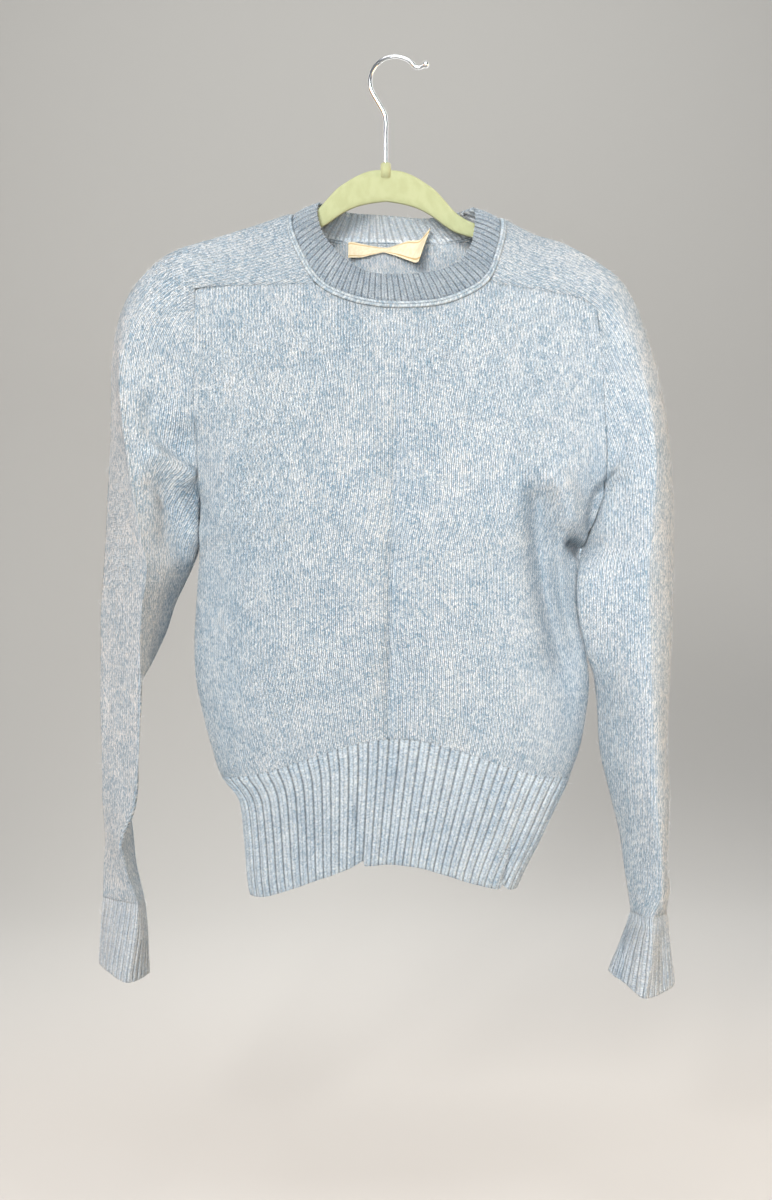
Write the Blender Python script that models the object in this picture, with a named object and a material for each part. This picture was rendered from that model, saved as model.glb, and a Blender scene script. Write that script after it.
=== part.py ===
"""A crewneck pullover with saddle shoulders in heathered wool, hanging on a flocked hanger.

Millimetres inside this script, metres in the meshes. +Z is up, the front faces -Y and left is the
viewer's left. The origin is the point inside the hook's top where it hangs. The garment is hollow:
each knitted piece is a wall whose outer points follow one surface, and the wall lies inside it.

body_point(face, s, row) is the surface of the front or back. s runs from the left edge to the
right. row is 0 along the top edge, 1 at the armpits, 2 at the top of the waist rib, 3 at the hem.
sleeve_point(side, u, e) is the surface of a sleeve with its saddle strap. u runs from the front
seam over the outside to the back seam. e is 0 at the neck, 1 at the corner of the armhole, 2 at
the armpit, 3 where the cuff starts and 4 at the cuff's edge.
"""

import math
from collections import namedtuple

import bpy
from mathutils import Vector

MM = 0.001
HOOK_LINE_X = 2.7  # the tables' x of the line that the hook hangs on

WALL = 2.6  # the knitted wall
SEAM_GAP = 0.3
RIB_RISE = 1.3
ROLL_RISE = 2.4  # the linking roll round the base of the neckband

ARMPIT_Z = -440.0
RIB_TOP_Z = -645.0  # at the side seams
HEM_LEFT_Z = -751.0
HEM_RIGHT_Z = -744.5
RIB_TOP_ARCH = 36.0  # how much higher the waist rib starts at the centre
HEM_ARCH = 30.0
RIB_TOP_PEAK = 2.0  # powers of the two arches: the higher, the more pointed
HEM_PEAK = 1.7
SIDE_ROUNDNESS = 2.6  # power of the body's section, an ellipse being 2
ARMHOLE_OPEN = 27.0  # from the hanger's plane forward or back to the top of the armhole seam

ARMHOLE_ROWS = (0.0, 0.06, 0.12, 0.2, 0.3, 0.42, 0.56, 0.7, 0.84, 1.0)
STRAP_STEPS = 5
NECK_STEPS = 10
LOWER_STEPS = 8
AROUND_STEPS = 16
TUBE_STEPS = 12

WAIST_RIBS = 40  # on each of the front and the back
CUFF_RIBS = 24

LABEL_THICKNESS = 0.7

HANGER_CENTRE_X = -5.0
HANGER_THICKNESS = 5.5
HANGER_TILT = math.tan(math.radians(1.2))
HANGER_REACH = 198.0
STUB_RADIUS = 5.0
STUB_TOP_Z = -94.5
WIRE_RADIUS = 1.75
HOOK_RADIUS = 22.5  # of the wire's centre line
SOCKET_DEPTH = 9.0
BALL_RADIUS = 2.9

BodyRow = namedtuple("BodyRow", "z left right front back")
BODY = (
    BodyRow(-211, -174.0, 178.0, 33, 32),
    BodyRow(-250, -174.0, 183.0, 36, 35),
    BodyRow(-312, -174.0, 187.0, 38, 37),
    BodyRow(-382, -173.5, 189.0, 39, 38),
    BodyRow(-415, -173.0, 181.0, 40, 39),
    BodyRow(-440, -173.0, 172.0, 40, 40),
    BodyRow(-472, -175.0, 169.5, 41, 41),
    BodyRow(-504, -177.0, 170.5, 42, 42),
    BodyRow(-533, -178.0, 174.5, 43, 43),
    BodyRow(-562, -176.0, 177.5, 44, 44),
    BodyRow(-590, -170.0, 174.5, 45, 45),
    BodyRow(-619, -162.5, 169.0, 46, 46),
    BodyRow(-646, -153.0, 159.5, 46, 46),
    BodyRow(-657, -142.5, 154.0, 45, 46),
    BodyRow(-669, -135.5, 148.0, 45, 45),
    BodyRow(-702, -131.5, 132.5, 44, 45),
    BodyRow(-735, -129.5, 115.5, 45, 47),
    BodyRow(-752, -127.0, 110.0, 46, 48),
)

TopEdge = namedtuple("TopEdge", "x z")
TOP_EDGE = {
    "front": (
        TopEdge(-174, -213), TopEdge(-155, -211), TopEdge(-85, -210), TopEdge(-69, -210),
        TopEdge(-57, -217), TopEdge(-45, -223), TopEdge(-20, -229.5), TopEdge(4, -231),
        TopEdge(35, -229.5), TopEdge(53, -225), TopEdge(72, -216), TopEdge(85, -207),
        TopEdge(95, -210), TopEdge(117, -213), TopEdge(150, -218), TopEdge(166, -223),
        TopEdge(178, -232),
    ),
    "back": (
        TopEdge(-174, -213), TopEdge(-140, -197), TopEdge(-105, -180), TopEdge(-80, -167),
        TopEdge(-62, -158), TopEdge(-40, -160), TopEdge(4, -161.5), TopEdge(40, -160),
        TopEdge(66, -158), TopEdge(85, -168), TopEdge(115, -184), TopEdge(150, -208),
        TopEdge(178, -232),
    ),
}
NECK_CORNER_X = {"front": (-69.0, 85.0), "back": (-62.0, 66.0)}

# Soft troughs pressed into the front: where, how deep, how wide, and from which z to which.
Trough = namedtuple("Trough", "x_top x_bottom depth width z_top z_bottom")
FRONT_TROUGHS = (
    Trough(4, -3, 3.5, 11, -290, -625),
    Trough(122, 158, 6.5, 13, -365, -600),
    Trough(-152, -146, 2.5, 14, -400, -600),
)
BACK_TROUGHS = (
    Trough(-12, 6, 3.5, 14, -260, -620),
    Trough(-138, -128, 4.5, 14, -330, -580),
    Trough(140, 150, 3.5, 13, -380, -600),
)

# The line where each strap lies over the hanger's arm, e as in sleeve_point.
Ridge = namedtuple("Ridge", "e x z")
STRAP_RIDGE = {
    "left": (Ridge(0, -93.5, -140.7), Ridge(0.33, -124, -151.2), Ridge(0.66, -160, -161.5)),
    "right": (Ridge(0, 101, -144.5), Ridge(0.33, 128, -158.5), Ridge(0.66, 159, -169.3)),
}
STRAP_FALL = 0.42  # how far from the ridge to the seam a strap's fold stands
STRAP_BULGE = 5.0
NECK_BULGE = {"left": -6.0, "right": 3.5}  # how far each strap's neck edge bows outwards in front

# The sleeve's head: its front fold, and its outline as seen from the front.
Cap = namedtuple("Cap", "e fold_x fold_y fold_z outer_x outer_z")
CAP = {
    "left": (
        Cap(1.00, -193, -22, -198, -205, -178.5),
        Cap(1.10, -217, -26, -223, -229, -201),
        Cap(1.22, -232, -29, -251, -245, -231),
        Cap(1.36, -238, -32, -286, -252, -269),
        Cap(1.52, -236, -38, -327, -253, -318),
        Cap(1.70, -229, -46, -370, -255, -366),
        Cap(1.86, -222, -52, -407, -257, -406),
        Cap(2.00, -216, -55, -440, -259, -440),
    ),
    "right": (
        Cap(1.00, 191, -22, -214, 202, -196),
        Cap(1.10, 203, -27, -238, 217, -217),
        Cap(1.22, 213, -32, -264, 228, -246),
        Cap(1.36, 221, -37, -296, 238, -280),
        Cap(1.52, 227, -43, -333, 246, -318),
        Cap(1.70, 229, -49, -374, 251, -362),
        Cap(1.86, 226, -53, -409, 253, -405),
        Cap(2.00, 223, -54, -440, 253, -440),
    ),
}
CAP_BACK_SHARE = 0.9  # the head's depth behind the hanger, as a share of that in front

# The sleeve below the armpit: a flattened tube through its inner side and its three other folds.
Tube = namedtuple("Tube", "z inner_x inner_y front_x front_y outer_x outer_y back_x back_y")
TUBE = {
    "left": (
        Tube(-455, -178, 0, -212, -56, -260, 0, -222, 50),
        Tube(-474, -187, 2, -213, -56, -261, 0, -226, 50),
        Tube(-491, -195, 2, -216, -55, -262, 0, -230, 50),
        Tube(-516, -203, 2, -218, -54, -262, -2, -236, 50),
        Tube(-542, -215, 2, -218, -53, -262, -3, -240, 50),
        Tube(-570, -229, 2, -218, -51, -262, -4, -246, 49),
        Tube(-620, -234, 2, -220, -48, -261, -4, -248, 46),
        Tube(-667, -236, 2, -224, -45, -260, -4, -249, 43),
        Tube(-700, -233, 2, -234, -43, -258, -4, -242, 40),
        Tube(-725, -230, 0, -236, -39, -259, -4, -243, 36),
        Tube(-755, -223, 0, -237, -35, -260, -2, -243, 34),
    ),
    "right": (
        Tube(-450, 172, -8, 222, -53, 253, 0, 215, 52),
        Tube(-470, 168, -19, 222, -52, 253, 0, 208, 52),
        Tube(-500, 169, -20, 223, -51, 252, 0, 206, 52),
        Tube(-540, 178, -10, 224, -50, 250, 0, 208, 50),
        Tube(-580, 185, 4, 226, -47, 248, 0, 210, 48),
        Tube(-625, 189, 12, 228, -43, 248, 2, 213, 46),
        Tube(-667, 199, 12, 231, -39, 250, 4, 218, 44),
        Tube(-700, 207, 12, 234, -36, 249, 4, 223, 41),
        Tube(-725, 210, 9, 236, -33, 248, 4, 226, 37),
        Tube(-748, 213, 6, 236, -31, 251, 4, 229, 34),
        Tube(-768, 215, 2, 230, -28, 248, 2, 234, 31),
    ),
}
CuffPoint = namedtuple("CuffPoint", "x y z")
CUFF_EDGE = {
    "left": {
        "inner": CuffPoint(-218, 0, -823),
        "front": CuffPoint(-238, -33, -824),
        "outer": CuffPoint(-263.5, -2, -814),
        "back": CuffPoint(-245, 33, -822),
    },
    "right": {
        "inner": CuffPoint(194, -4, -820),
        "front": CuffPoint(223, -31, -838),
        "outer": CuffPoint(255, 3, -834),
        "back": CuffPoint(226, 32, -828),
    },
}

# The neckband's free edge, anticlockwise as the viewer sees it, from the front's centre.
NeckEdge = namedtuple("NeckEdge", "x y z")
NECK_EDGE = {
    "front_left": (
        NeckEdge(4, -30, -201), NeckEdge(-14, -29.5, -200), NeckEdge(-27, -28, -196),
        NeckEdge(-39, -25, -188), NeckEdge(-51, -20, -176), NeckEdge(-62, -14, -160),
        NeckEdge(-67, -9, -141), NeckEdge(-66, 0, -129.5),
    ),
    "back_left": (
        NeckEdge(-66, 0, -129.5), NeckEdge(-59, 13, -129.5), NeckEdge(-40, 22, -133),
        NeckEdge(-4, 25, -135),
    ),
    "back_right": (
        NeckEdge(-4, 25, -135), NeckEdge(30, 24, -138), NeckEdge(57, 18, -135),
        NeckEdge(74, 0, -134),
    ),
    "front_right": (
        NeckEdge(74, 0, -134), NeckEdge(74.5, -9, -147), NeckEdge(72.5, -13, -162), NeckEdge(69, -17, -174),
        NeckEdge(60, -23, -187), NeckEdge(44, -27.5, -196), NeckEdge(24, -29.5, -200),
        NeckEdge(4, -30, -201),
    ),
}
# Rows up the band, as a share of its height: the roll, then the ribs up to the bound-off edge.
BandRow = namedtuple("BandRow", "share roll ribs bow")
BAND = (
    BandRow(0.0, 0.0, 0.0, 0.0),
    BandRow(0.10, 1.0, 0.0, 0.4),
    BandRow(0.23, 0.1, 0.6, 0.9),
    BandRow(0.60, 0.0, 1.0, 1.5),
    BandRow(0.94, 0.0, 1.0, 0.3),
    BandRow(1.0, 0.0, 0.4, 0.0),
)
RIB_ROWS = ((0.0, 0.0), (0.05, 1.0), (0.2, 1.0), (0.42, 1.0), (0.7, 1.0), (0.96, 1.0), (1.0, 0.3))

# The bare label: its upper and lower edges, and how far each end curls forward.
LabelColumn = namedtuple("LabelColumn", "x top_z bottom_z top_y bottom_y")
LABEL = (
    LabelColumn(-39, -161, -174, 27.8, 22.0),
    LabelColumn(-22, -162, -173, 28.3, 25.0),
    LabelColumn(-6, -162, -172, 28.5, 25.5),
    LabelColumn(10, -162, -176, 28.3, 23.0),
    LabelColumn(23, -160, -180, 27.0, 17.0),
    LabelColumn(34, -150, -168, 22.0, 12.0),
)
LABEL_STEPS_ACROSS = 15
LABEL_STEPS_DOWN = 4

HangerRow = namedtuple("HangerRow", "reach top_z bottom_z")
HANGER = (
    HangerRow(0, -100.4, -129.0),
    HangerRow(14, -101.7, -131.0),
    HangerRow(26, -106.3, -134.0),
    HangerRow(36, -112.3, -138.5),
    HangerRow(44, -118.0, -143.5),
    HangerRow(52, -126.5, -149.5),
    HangerRow(61, -136.5, -155.0),
    HangerRow(70, -143.0, -158.0),
    HangerRow(80, -147.2, -160.5),
    HangerRow(92, -149.8, -163.0),
    HangerRow(107, -154.2, -167.5),
    HangerRow(119, -158.4, -171.0),
    HangerRow(133, -162.6, -175.0),
    HangerRow(155, -169.4, -181.0),
    HangerRow(172, -175.2, -186.5),
    HangerRow(185, -181.7, -192.0),
    HangerRow(HANGER_REACH, -192.5, -199.5),
)
HANGER_STEP = 8.5

# The way of the wire after its round top: turned out to the ball at its tip.
HookPoint = namedtuple("HookPoint", "x z")
HOOK_CENTRE = HookPoint(HOOK_LINE_X, WIRE_RADIUS - HOOK_RADIUS)
HOOK_STEM_X = -5.6


def clear_scene():
    for obj in list(bpy.data.objects):
        bpy.data.objects.remove(obj)


def smooth(knots, values, at):
    """The value at a place along rising knots, on a smooth curve through the values."""
    last = len(knots) - 1
    at = min(max(at, knots[0]), knots[last])
    i = 0
    while i < last - 1 and at > knots[i + 1]:
        i += 1

    def slope(k):
        low, high = max(k - 1, 0), min(k + 1, last)
        return (values[high] - values[low]) / (knots[high] - knots[low])

    step = knots[i + 1] - knots[i]
    f = (at - knots[i]) / step
    start, end = slope(i) * step, slope(i + 1) * step
    rise = values[i + 1] - values[i]
    return values[i] + f * start + f * f * (3 * rise - 2 * start - end) + f**3 * (start + end - 2 * rise)


def straight(knots, values, at):
    """As smooth, in straight runs from value to value."""
    last = len(knots) - 1
    at = min(max(at, knots[0]), knots[last])
    i = 0
    while i < last - 1 and at > knots[i + 1]:
        i += 1
    f = (at - knots[i]) / (knots[i + 1] - knots[i])
    return values[i] + f * (values[i + 1] - values[i])


def mix(a, b, share):
    return a + (b - a) * share


def ease(share):
    share = min(max(share, 0.0), 1.0)
    return share * share * (3 - 2 * share)


def body_row(column, z):
    return smooth([-row.z for row in BODY], [getattr(row, column) for row in BODY], -z)


def top_z(face, x):
    rows = TOP_EDGE[face]
    return straight([row.x for row in rows], [row.z for row in rows], x)


def armhole_open(row):
    """How far the armhole seam stands from the hanger's plane, closing to nothing at the armpit."""
    row = min(max(row, 0.0), 1.0)
    return (ARMHOLE_OPEN + 8 * row) * (1 - row**4) ** 0.75


def trough_depth(face, x, z):
    depth = 0.0
    for trough in FRONT_TROUGHS if face == "front" else BACK_TROUGHS:
        share = (z - trough.z_top) / (trough.z_bottom - trough.z_top)
        if 0 < share < 1:
            off = (x - mix(trough.x_top, trough.x_bottom, share)) / trough.width
            depth += trough.depth * math.exp(-off * off) * ease(4 * share) * ease(4 * (1 - share))
    return depth


def body_point(face, s, row):
    first, last = TOP_EDGE[face][0], TOP_EDGE[face][-1]
    if row <= 1:
        left_z, right_z = mix(first.z, ARMPIT_Z, row), mix(last.z, ARMPIT_Z, row)
        z = mix(top_z(face, mix(first.x, last.x, s)), ARMPIT_Z, row)
        depth_z = z
    elif row <= 2:
        left_z = right_z = depth_z = mix(ARMPIT_Z, RIB_TOP_Z, row - 1)
        z = left_z + RIB_TOP_ARCH * arch(s, RIB_TOP_PEAK) * (row - 1) ** 1.5
    else:
        left_z, right_z = mix(RIB_TOP_Z, HEM_LEFT_Z, row - 2), mix(RIB_TOP_Z, HEM_RIGHT_Z, row - 2)
        depth_z = left_z
        rise = mix(RIB_TOP_ARCH, HEM_ARCH, row - 2) * arch(s, mix(RIB_TOP_PEAK, HEM_PEAK, row - 2))
        z = mix(left_z, right_z, s) + rise
    x = mix(body_row("left", left_z), body_row("right", right_z), s)
    if row > 2:
        x = rib_x(s, row, left_z, right_z)
    side = armhole_open(row)
    bow = 1 - abs(2 * s - 1) ** SIDE_ROUNDNESS
    flatness = mix(1.2, SIDE_ROUNDNESS, ease((row - 0.2) / 0.9))
    y = side + (body_row(face, depth_z) - side) * max(bow, 0.0) ** (1 / flatness)
    y -= trough_depth(face, x, z)
    return Vector((x, -y if face == "front" else y, z))


def rib_x(s, row, left_z, right_z):
    """Straight ribs from the waist's top to the hem, but for the few that bend by the side seams."""
    ends = []
    for column, z, hem in (("left", left_z, HEM_LEFT_Z), ("right", right_z, HEM_RIGHT_Z)):
        straight_x = mix(body_row(column, RIB_TOP_Z), body_row(column, hem), row - 2)
        ends.append((straight_x, body_row(column, z) - straight_x))
    (left, left_bend), (right, right_bend) = ends
    return mix(left, right, s) + left_bend * (1 - s) ** 5 + right_bend * s**5


def arch(s, power):
    """1 at the centre and 0 at the side seams."""
    return math.cos(math.pi * (s - 0.5)) ** power


def column_share(u, row):
    """Closer columns towards the side seams, where the body turns, but even ones at the top."""
    return u - 0.62 * ease(row) * math.sin(2 * math.pi * u) / (2 * math.pi)


def side_seam(side, face, e):
    """The seam between a sleeve and the front or back: along the strap, then down the armhole."""
    first, last = TOP_EDGE[face][0], TOP_EDGE[face][-1]
    if e > 1:
        return body_point(face, 0.0 if side == "left" else 1.0, e - 1)
    neck_x = NECK_CORNER_X[face][0 if side == "left" else 1]
    corner = first if side == "left" else last
    return body_point(face, (mix(neck_x, corner.x, e) - first.x) / (last.x - first.x), 0.0)


def tube_e(side, z):
    return 2 + (ARMPIT_Z - z) / (ARMPIT_Z - TUBE[side][-1].z)


def sleeve_lines(side):
    """The sleeve's lengthwise lines as (knots, points): inner side, front, outer and back fold."""
    knots, front, outer, back = [], [], [], []
    for ridge in STRAP_RIDGE[side]:
        top = Vector((ridge.x, 0, ridge.z))
        bulge = Vector((0, STRAP_BULGE, 0))
        bow = Vector((NECK_BULGE[side] * (1 - ease(ridge.e / 0.5)), 0, 0))
        knots.append(ridge.e)
        outer.append(top)
        front.append(top.lerp(side_seam(side, "front", ridge.e), STRAP_FALL) - bulge + bow)
        back.append(top.lerp(side_seam(side, "back", ridge.e), STRAP_FALL) + bulge)
    for cap in CAP[side]:
        knots.append(cap.e)
        front.append(Vector((cap.fold_x, cap.fold_y, cap.fold_z)))
        outer.append(Vector((cap.outer_x, 0, cap.outer_z)))
        back.append(Vector((cap.fold_x, -CAP_BACK_SHARE * cap.fold_y, cap.fold_z)))
    inner_knots, inner = [2.0], [side_seam(side, "front", 2.0)]
    for tube in TUBE[side]:
        e = tube_e(side, tube.z)
        knots.append(e)
        inner_knots.append(e)
        inner.append(Vector((tube.inner_x, tube.inner_y, tube.z)))
        front.append(Vector((tube.front_x, tube.front_y, tube.z)))
        outer.append(Vector((tube.outer_x, tube.outer_y, tube.z)))
        back.append(Vector((tube.back_x, tube.back_y, tube.z)))
    for line, end in ((inner, "inner"), (front, "front"), (outer, "outer"), (back, "back")):
        line.append(Vector(CUFF_EDGE[side][end]))
    knots.append(4.0)
    inner_knots.append(4.0)
    return {
        "inner": (inner_knots, inner),
        "front": (knots, front),
        "outer": (knots, outer),
        "back": (knots, back),
    }


def sleeve_point(lines, side, u, e):
    front, outer, back = (smooth(*lines[name], e) for name in ("front", "outer", "back"))
    if e < 2:
        start, end = side_seam(side, "front", e), side_seam(side, "back", e)
    else:
        start = end = smooth(*lines["inner"], e)
    closed = ease((e - 1.6) / 0.4)
    before = (2 * start - front).lerp(back, closed)
    after = (2 * end - back).lerp(front, closed)
    points = (before, start, front, outer, back, end, after)
    spans = len(points) - 3
    i = min(int(u * spans), spans - 1)
    f = u * spans - i
    a, b, c, d = points[i : i + 4]
    return 0.5 * (2 * b + f * (c - a) + f * f * (2 * a - 5 * b + 4 * c - d) + f**3 * (3 * b - a - 3 * c + d))


def vertex_normals(points, faces):
    normals = [Vector() for _ in points]
    for face in faces:
        corners = [points[i] for i in face]
        normal = (corners[2] - corners[0]).cross(corners[-1] - corners[1])
        for i in face:
            normals[i] += normal
    return [normal.normalized() for normal in normals]


def wall_inside(points, faces, limits, thickness=WALL):
    """The inner points of a wall. limits[i] are the ways to the neighbours across i's seams."""
    inner = []
    for i, (point, normal) in enumerate(zip(points, vertex_normals(points, faces))):
        inward = -normal
        for across in limits.get(i, ()):
            inward -= across * max(inward.dot(across), 0.0)
        inner.append(point + inward.normalized() * thickness)
    return inner


def closed_faces(faces, count):
    """Faces of a wall of two like sides: the outer, the inner turned round, and all borders."""
    edges = {}
    for face in faces:
        for a, b in zip(face, face[1:] + face[:1]):
            edges[(a, b)] = True
    rims = [(b, a, a + count, b + count) for a, b in edges if (b, a) not in edges]
    inner = [tuple(i + count for i in reversed(face)) for face in faces]
    return list(faces) + inner + rims


def add_solid(name, points, faces, material, flat=False):
    mesh = bpy.data.meshes.new(name)
    placed = [((p.x - HOOK_LINE_X) * MM, p.y * MM, p.z * MM) for p in points]
    mesh.from_pydata(placed, [], [tuple(face) for face in faces])
    mesh.validate()
    mesh.materials.append(material)
    if not flat:
        mesh.shade_smooth()
        mesh.set_sharp_from_angle(angle=math.radians(50))
    obj = bpy.data.objects.new(name, mesh)
    bpy.context.scene.collection.objects.link(obj)
    return obj


def across_seam(line, i, inward, away_from):
    """The way across a seam at its point i: square to the seam and to the wall's inward way."""
    along = line[min(i + 1, len(line) - 1)] - line[max(i - 1, 0)]
    across = along.cross(inward).normalized()
    return across if across.dot(line[i] - away_from) > 0 else -across


def seam_steps():
    return [i / STRAP_STEPS for i in range(STRAP_STEPS)] + [1 + row for row in ARMHOLE_ROWS]


def inward_of(face):
    return Vector((0, 1, 0)) if face == "front" else Vector((0, -1, 0))


def seam_line(side, face):
    return [side_seam(side, face, e) for e in seam_steps()]


def seam_across(side, face, i):
    """From the body to the sleeve, across point i of their seam."""
    middle = Vector((0, 0, -330))
    if i == len(seam_steps()) - 1:
        return Vector((-1 if side == "left" else 1, 0, 0))
    return across_seam(seam_line(side, face), i, inward_of(face), middle)


def neck_inward(point):
    """The way into the wall at the neck seam: back at the front, down over the shoulder."""
    deep = 36.0
    drop = math.sqrt(max(deep * deep - point.y * point.y, 0.0))
    return Vector((0, -point.y, -drop)).normalized()


def neck_line(face, lines):
    """A stretch of the neck seam: 'front' and 'back' run left to right, the straps front to back."""
    if face in lines:
        return [sleeve_point(lines[face], face, j / AROUND_STEPS, 0.0) for j in range(AROUND_STEPS + 1)]
    first, last = TOP_EDGE[face][0], TOP_EDGE[face][-1]
    left, right = NECK_CORNER_X[face]
    xs = [mix(left, right, j / NECK_STEPS) for j in range(NECK_STEPS + 1)]
    return [body_point(face, (x - first.x) / (last.x - first.x), 0.0) for x in xs]


def neck_across(line, i):
    """From the garment to the neckband, across point i of a stretch of the neck seam."""
    across = across_seam(line, i, neck_inward(line[i]), Vector((4, 0, -160)))
    return -across


def body_columns(face):
    """The columns' shares along the top edge: left strap seam, neckline, right strap seam."""
    first, last = TOP_EDGE[face][0].x, TOP_EDGE[face][-1].x
    left, right = NECK_CORNER_X[face]
    xs = [mix(first, left, j / STRAP_STEPS) for j in range(STRAP_STEPS)]
    xs += [mix(left, right, j / NECK_STEPS) for j in range(NECK_STEPS)]
    xs += [mix(right, last, j / STRAP_STEPS) for j in range(STRAP_STEPS + 1)]
    return [(x - first) / (last - first) for x in xs]


def make_body_panel(face, lines, material):
    columns = body_columns(face)
    rows = list(ARMHOLE_ROWS) + [1 + (k + 1) / LOWER_STEPS for k in range(LOWER_STEPS)]
    wide = len(columns)
    points = [body_point(face, column_share(u, row), row) for row in rows for u in columns]
    limits = {}

    def limit(index, across, gap=SEAM_GAP / 2):
        limits.setdefault(index, []).append(across)
        points[index] -= across * gap

    armpit = len(ARMHOLE_ROWS) - 1
    for side, edge, turn in (("left", 0, 1), ("right", wide - 1, -1)):
        for i in range(STRAP_STEPS + armpit + 1):
            strap = i < STRAP_STEPS
            index = edge + turn * (STRAP_STEPS - i) if strap else (i - STRAP_STEPS) * wide + edge
            limit(index, seam_across(side, face, i))
        for k in range(armpit, len(rows)):
            limit(k * wide + edge, inward_of(face))
    line = neck_line(face, lines)
    for j in range(NECK_STEPS + 1):
        limit(STRAP_STEPS + j, neck_across(line, j))
    for j in range(wide):
        limit((len(rows) - 1) * wide + j, Vector((0, 0, -1)))
    faces = []
    for k in range(len(rows) - 1):
        for j in range(wide - 1):
            a = k * wide + j
            face_corners = (a, a + wide, a + wide + 1, a + 1)
            faces.append(face_corners if face == "front" else face_corners[::-1])
    inner = wall_inside(points, faces, limits)
    add_solid(f"{face}_panel", points + inner, closed_faces(faces, len(points)), material)
    bottom = slice((len(rows) - 1) * wide, len(rows) * wide)
    return points[bottom], inner[bottom]


def make_sleeve(side, lines, material):
    steps = seam_steps() + [2 + (k + 1) / TUBE_STEPS for k in range(TUBE_STEPS)]
    armpit = len(seam_steps()) - 1
    points, index, limits = [], {}, {}
    for k, e in enumerate(steps):
        for j in range(AROUND_STEPS + 1):
            if k >= armpit and j == AROUND_STEPS:
                index[k, j] = index[k, 0]
                continue
            index[k, j] = len(points)
            points.append(sleeve_point(lines[side], side, j / AROUND_STEPS, e))

    def limit(i, across):
        limits.setdefault(i, []).append(across)
        points[i] -= across * SEAM_GAP / 2

    for k in range(armpit):
        limit(index[k, 0], -seam_across(side, "front", k))
        limit(index[k, AROUND_STEPS], -seam_across(side, "back", k))
    limit(index[armpit, 0], -seam_across(side, "front", armpit))
    line = neck_line(side, lines)
    for j in range(AROUND_STEPS + 1):
        limit(index[0, j], neck_across(line, j))
    faces = []
    for k in range(len(steps) - 1):
        for j in range(AROUND_STEPS):
            corners = (index[k, j], index[k, j + 1], index[k + 1, j + 1], index[k + 1, j])
            faces.append(corners if side == "left" else corners[::-1])
    last = len(steps) - 1
    for j in range(AROUND_STEPS):
        limit(index[last, j], Vector((0, 0, -1)))
    inner = wall_inside(points, faces, limits)
    add_solid(f"sleeve_{side}", points + inner, closed_faces(faces, len(points)), material)
    ring = [index[last, j] for j in range(AROUND_STEPS)]
    return [points[i] for i in ring], [inner[i] for i in ring]


def lengths_along(line):
    lengths = [0.0]
    for a, b in zip(line, line[1:]):
        lengths.append(lengths[-1] + (b - a).length)
    return lengths


def even_points(line, count):
    """count + 1 points at even distances along a line."""
    lengths = lengths_along(line)
    return [straight(lengths, line, lengths[-1] * i / count) for i in range(count + 1)]


def make_ribbed(name, base_rows, rises, inner_rows, ring, outward_turn, material):
    """A ribbed wall. base_rows have two columns for each rib, inner_rows have one.

    rises are each row's heights of (ridge, valley) over the base, along the base's own normals.
    """
    wide = len(base_rows[0])
    base = [point for row in base_rows for point in row]
    cells = wide if ring else wide - 1
    faces = []
    for k in range(len(base_rows) - 1):
        for j in range(cells):
            a, b = k * wide + j, k * wide + (j + 1) % wide
            corners = (a, a + wide, b + wide, b)
            faces.append(corners if outward_turn else corners[::-1])
    normals = vertex_normals(base, faces)
    outer = []
    for i, point in enumerate(base):
        ridge, valley = rises[i // wide]
        outer.append(point + normals[i] * (ridge if (i % wide) % 2 else valley))
    start = len(outer)
    narrow = len(inner_rows[0])
    points = outer + [point for row in inner_rows for point in row]
    inner_cells = narrow if ring else narrow - 1
    all_faces = list(faces)

    def add(corners):
        all_faces.append(corners if outward_turn else corners[::-1])

    for k in range(len(inner_rows) - 1):
        for j in range(inner_cells):
            a, b = start + k * narrow + j, start + k * narrow + (j + 1) % narrow
            add((b, b + narrow, a + narrow, a))
    low = (len(base_rows) - 1) * wide
    low_inner = start + (len(inner_rows) - 1) * narrow
    for j in range(inner_cells):
        a, b, c = 2 * j, 2 * j + 1, (2 * j + 2) % wide
        p, q = j, (j + 1) % narrow
        for corners in ((a, b, start + p), (b, c, start + q), (b, start + q, start + p)):
            add(corners)
        for corners in ((low + b, low + a, low_inner + p), (low + c, low + b, low_inner + q)):
            add(corners)
        add((low_inner + q, low + b, low_inner + p))
    if not ring:
        add_sides(add, len(base_rows), wide, start, len(inner_rows), narrow)
    return add_solid(name, points, all_faces, material, flat=True)


def add_sides(add, outer_count, wide, start, inner_count, narrow):
    """The two end faces of an open ribbed wall, whose outer side has more rows than its inner."""
    left_outer = [k * wide for k in range(outer_count)]
    left_inner = [start + k * narrow for k in range(inner_count)]
    right_outer = [k * wide + wide - 1 for k in range(outer_count)]
    right_inner = [start + k * narrow + narrow - 1 for k in range(inner_count)]
    add(tuple(left_inner + left_outer[::-1]))
    add(tuple(right_outer + right_inner[::-1]))


def make_waist_rib(face, top, material):
    """The rib hangs from the panel's last row, so its first row lies on that row's straight runs."""
    columns = 2 * WAIST_RIBS
    top_outer, top_inner = even_points(top[0], columns), even_points(top[1], columns)
    shares = even_shares(face)
    drop = Vector((0, 0, -SEAM_GAP))
    side_gap = inward_of(face) * SEAM_GAP / 2
    base_rows, rises = [], []
    for share, rise in RIB_ROWS:
        if share == 0:
            row = [point + drop for point in top_outer]
        else:
            row = [body_point(face, s, 2 + share) for s in shares]
            row[0] = row[0] - side_gap
            row[-1] = row[-1] - side_gap
        base_rows.append(row)
        rises.append((RIB_RISE * rise, 0.0))
    inner_rows = []
    for k in (0, 2, 3, 6):
        outer_row = base_rows[k]
        if k == 0:
            inner_rows.append([point + drop for point in top_inner[::2]])
            continue
        inner_rows.append(inset_row(outer_row, face)[::2])
    make_ribbed(f"waist_rib_{face}", base_rows, rises, inner_rows, False, face == "front", material)


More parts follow.
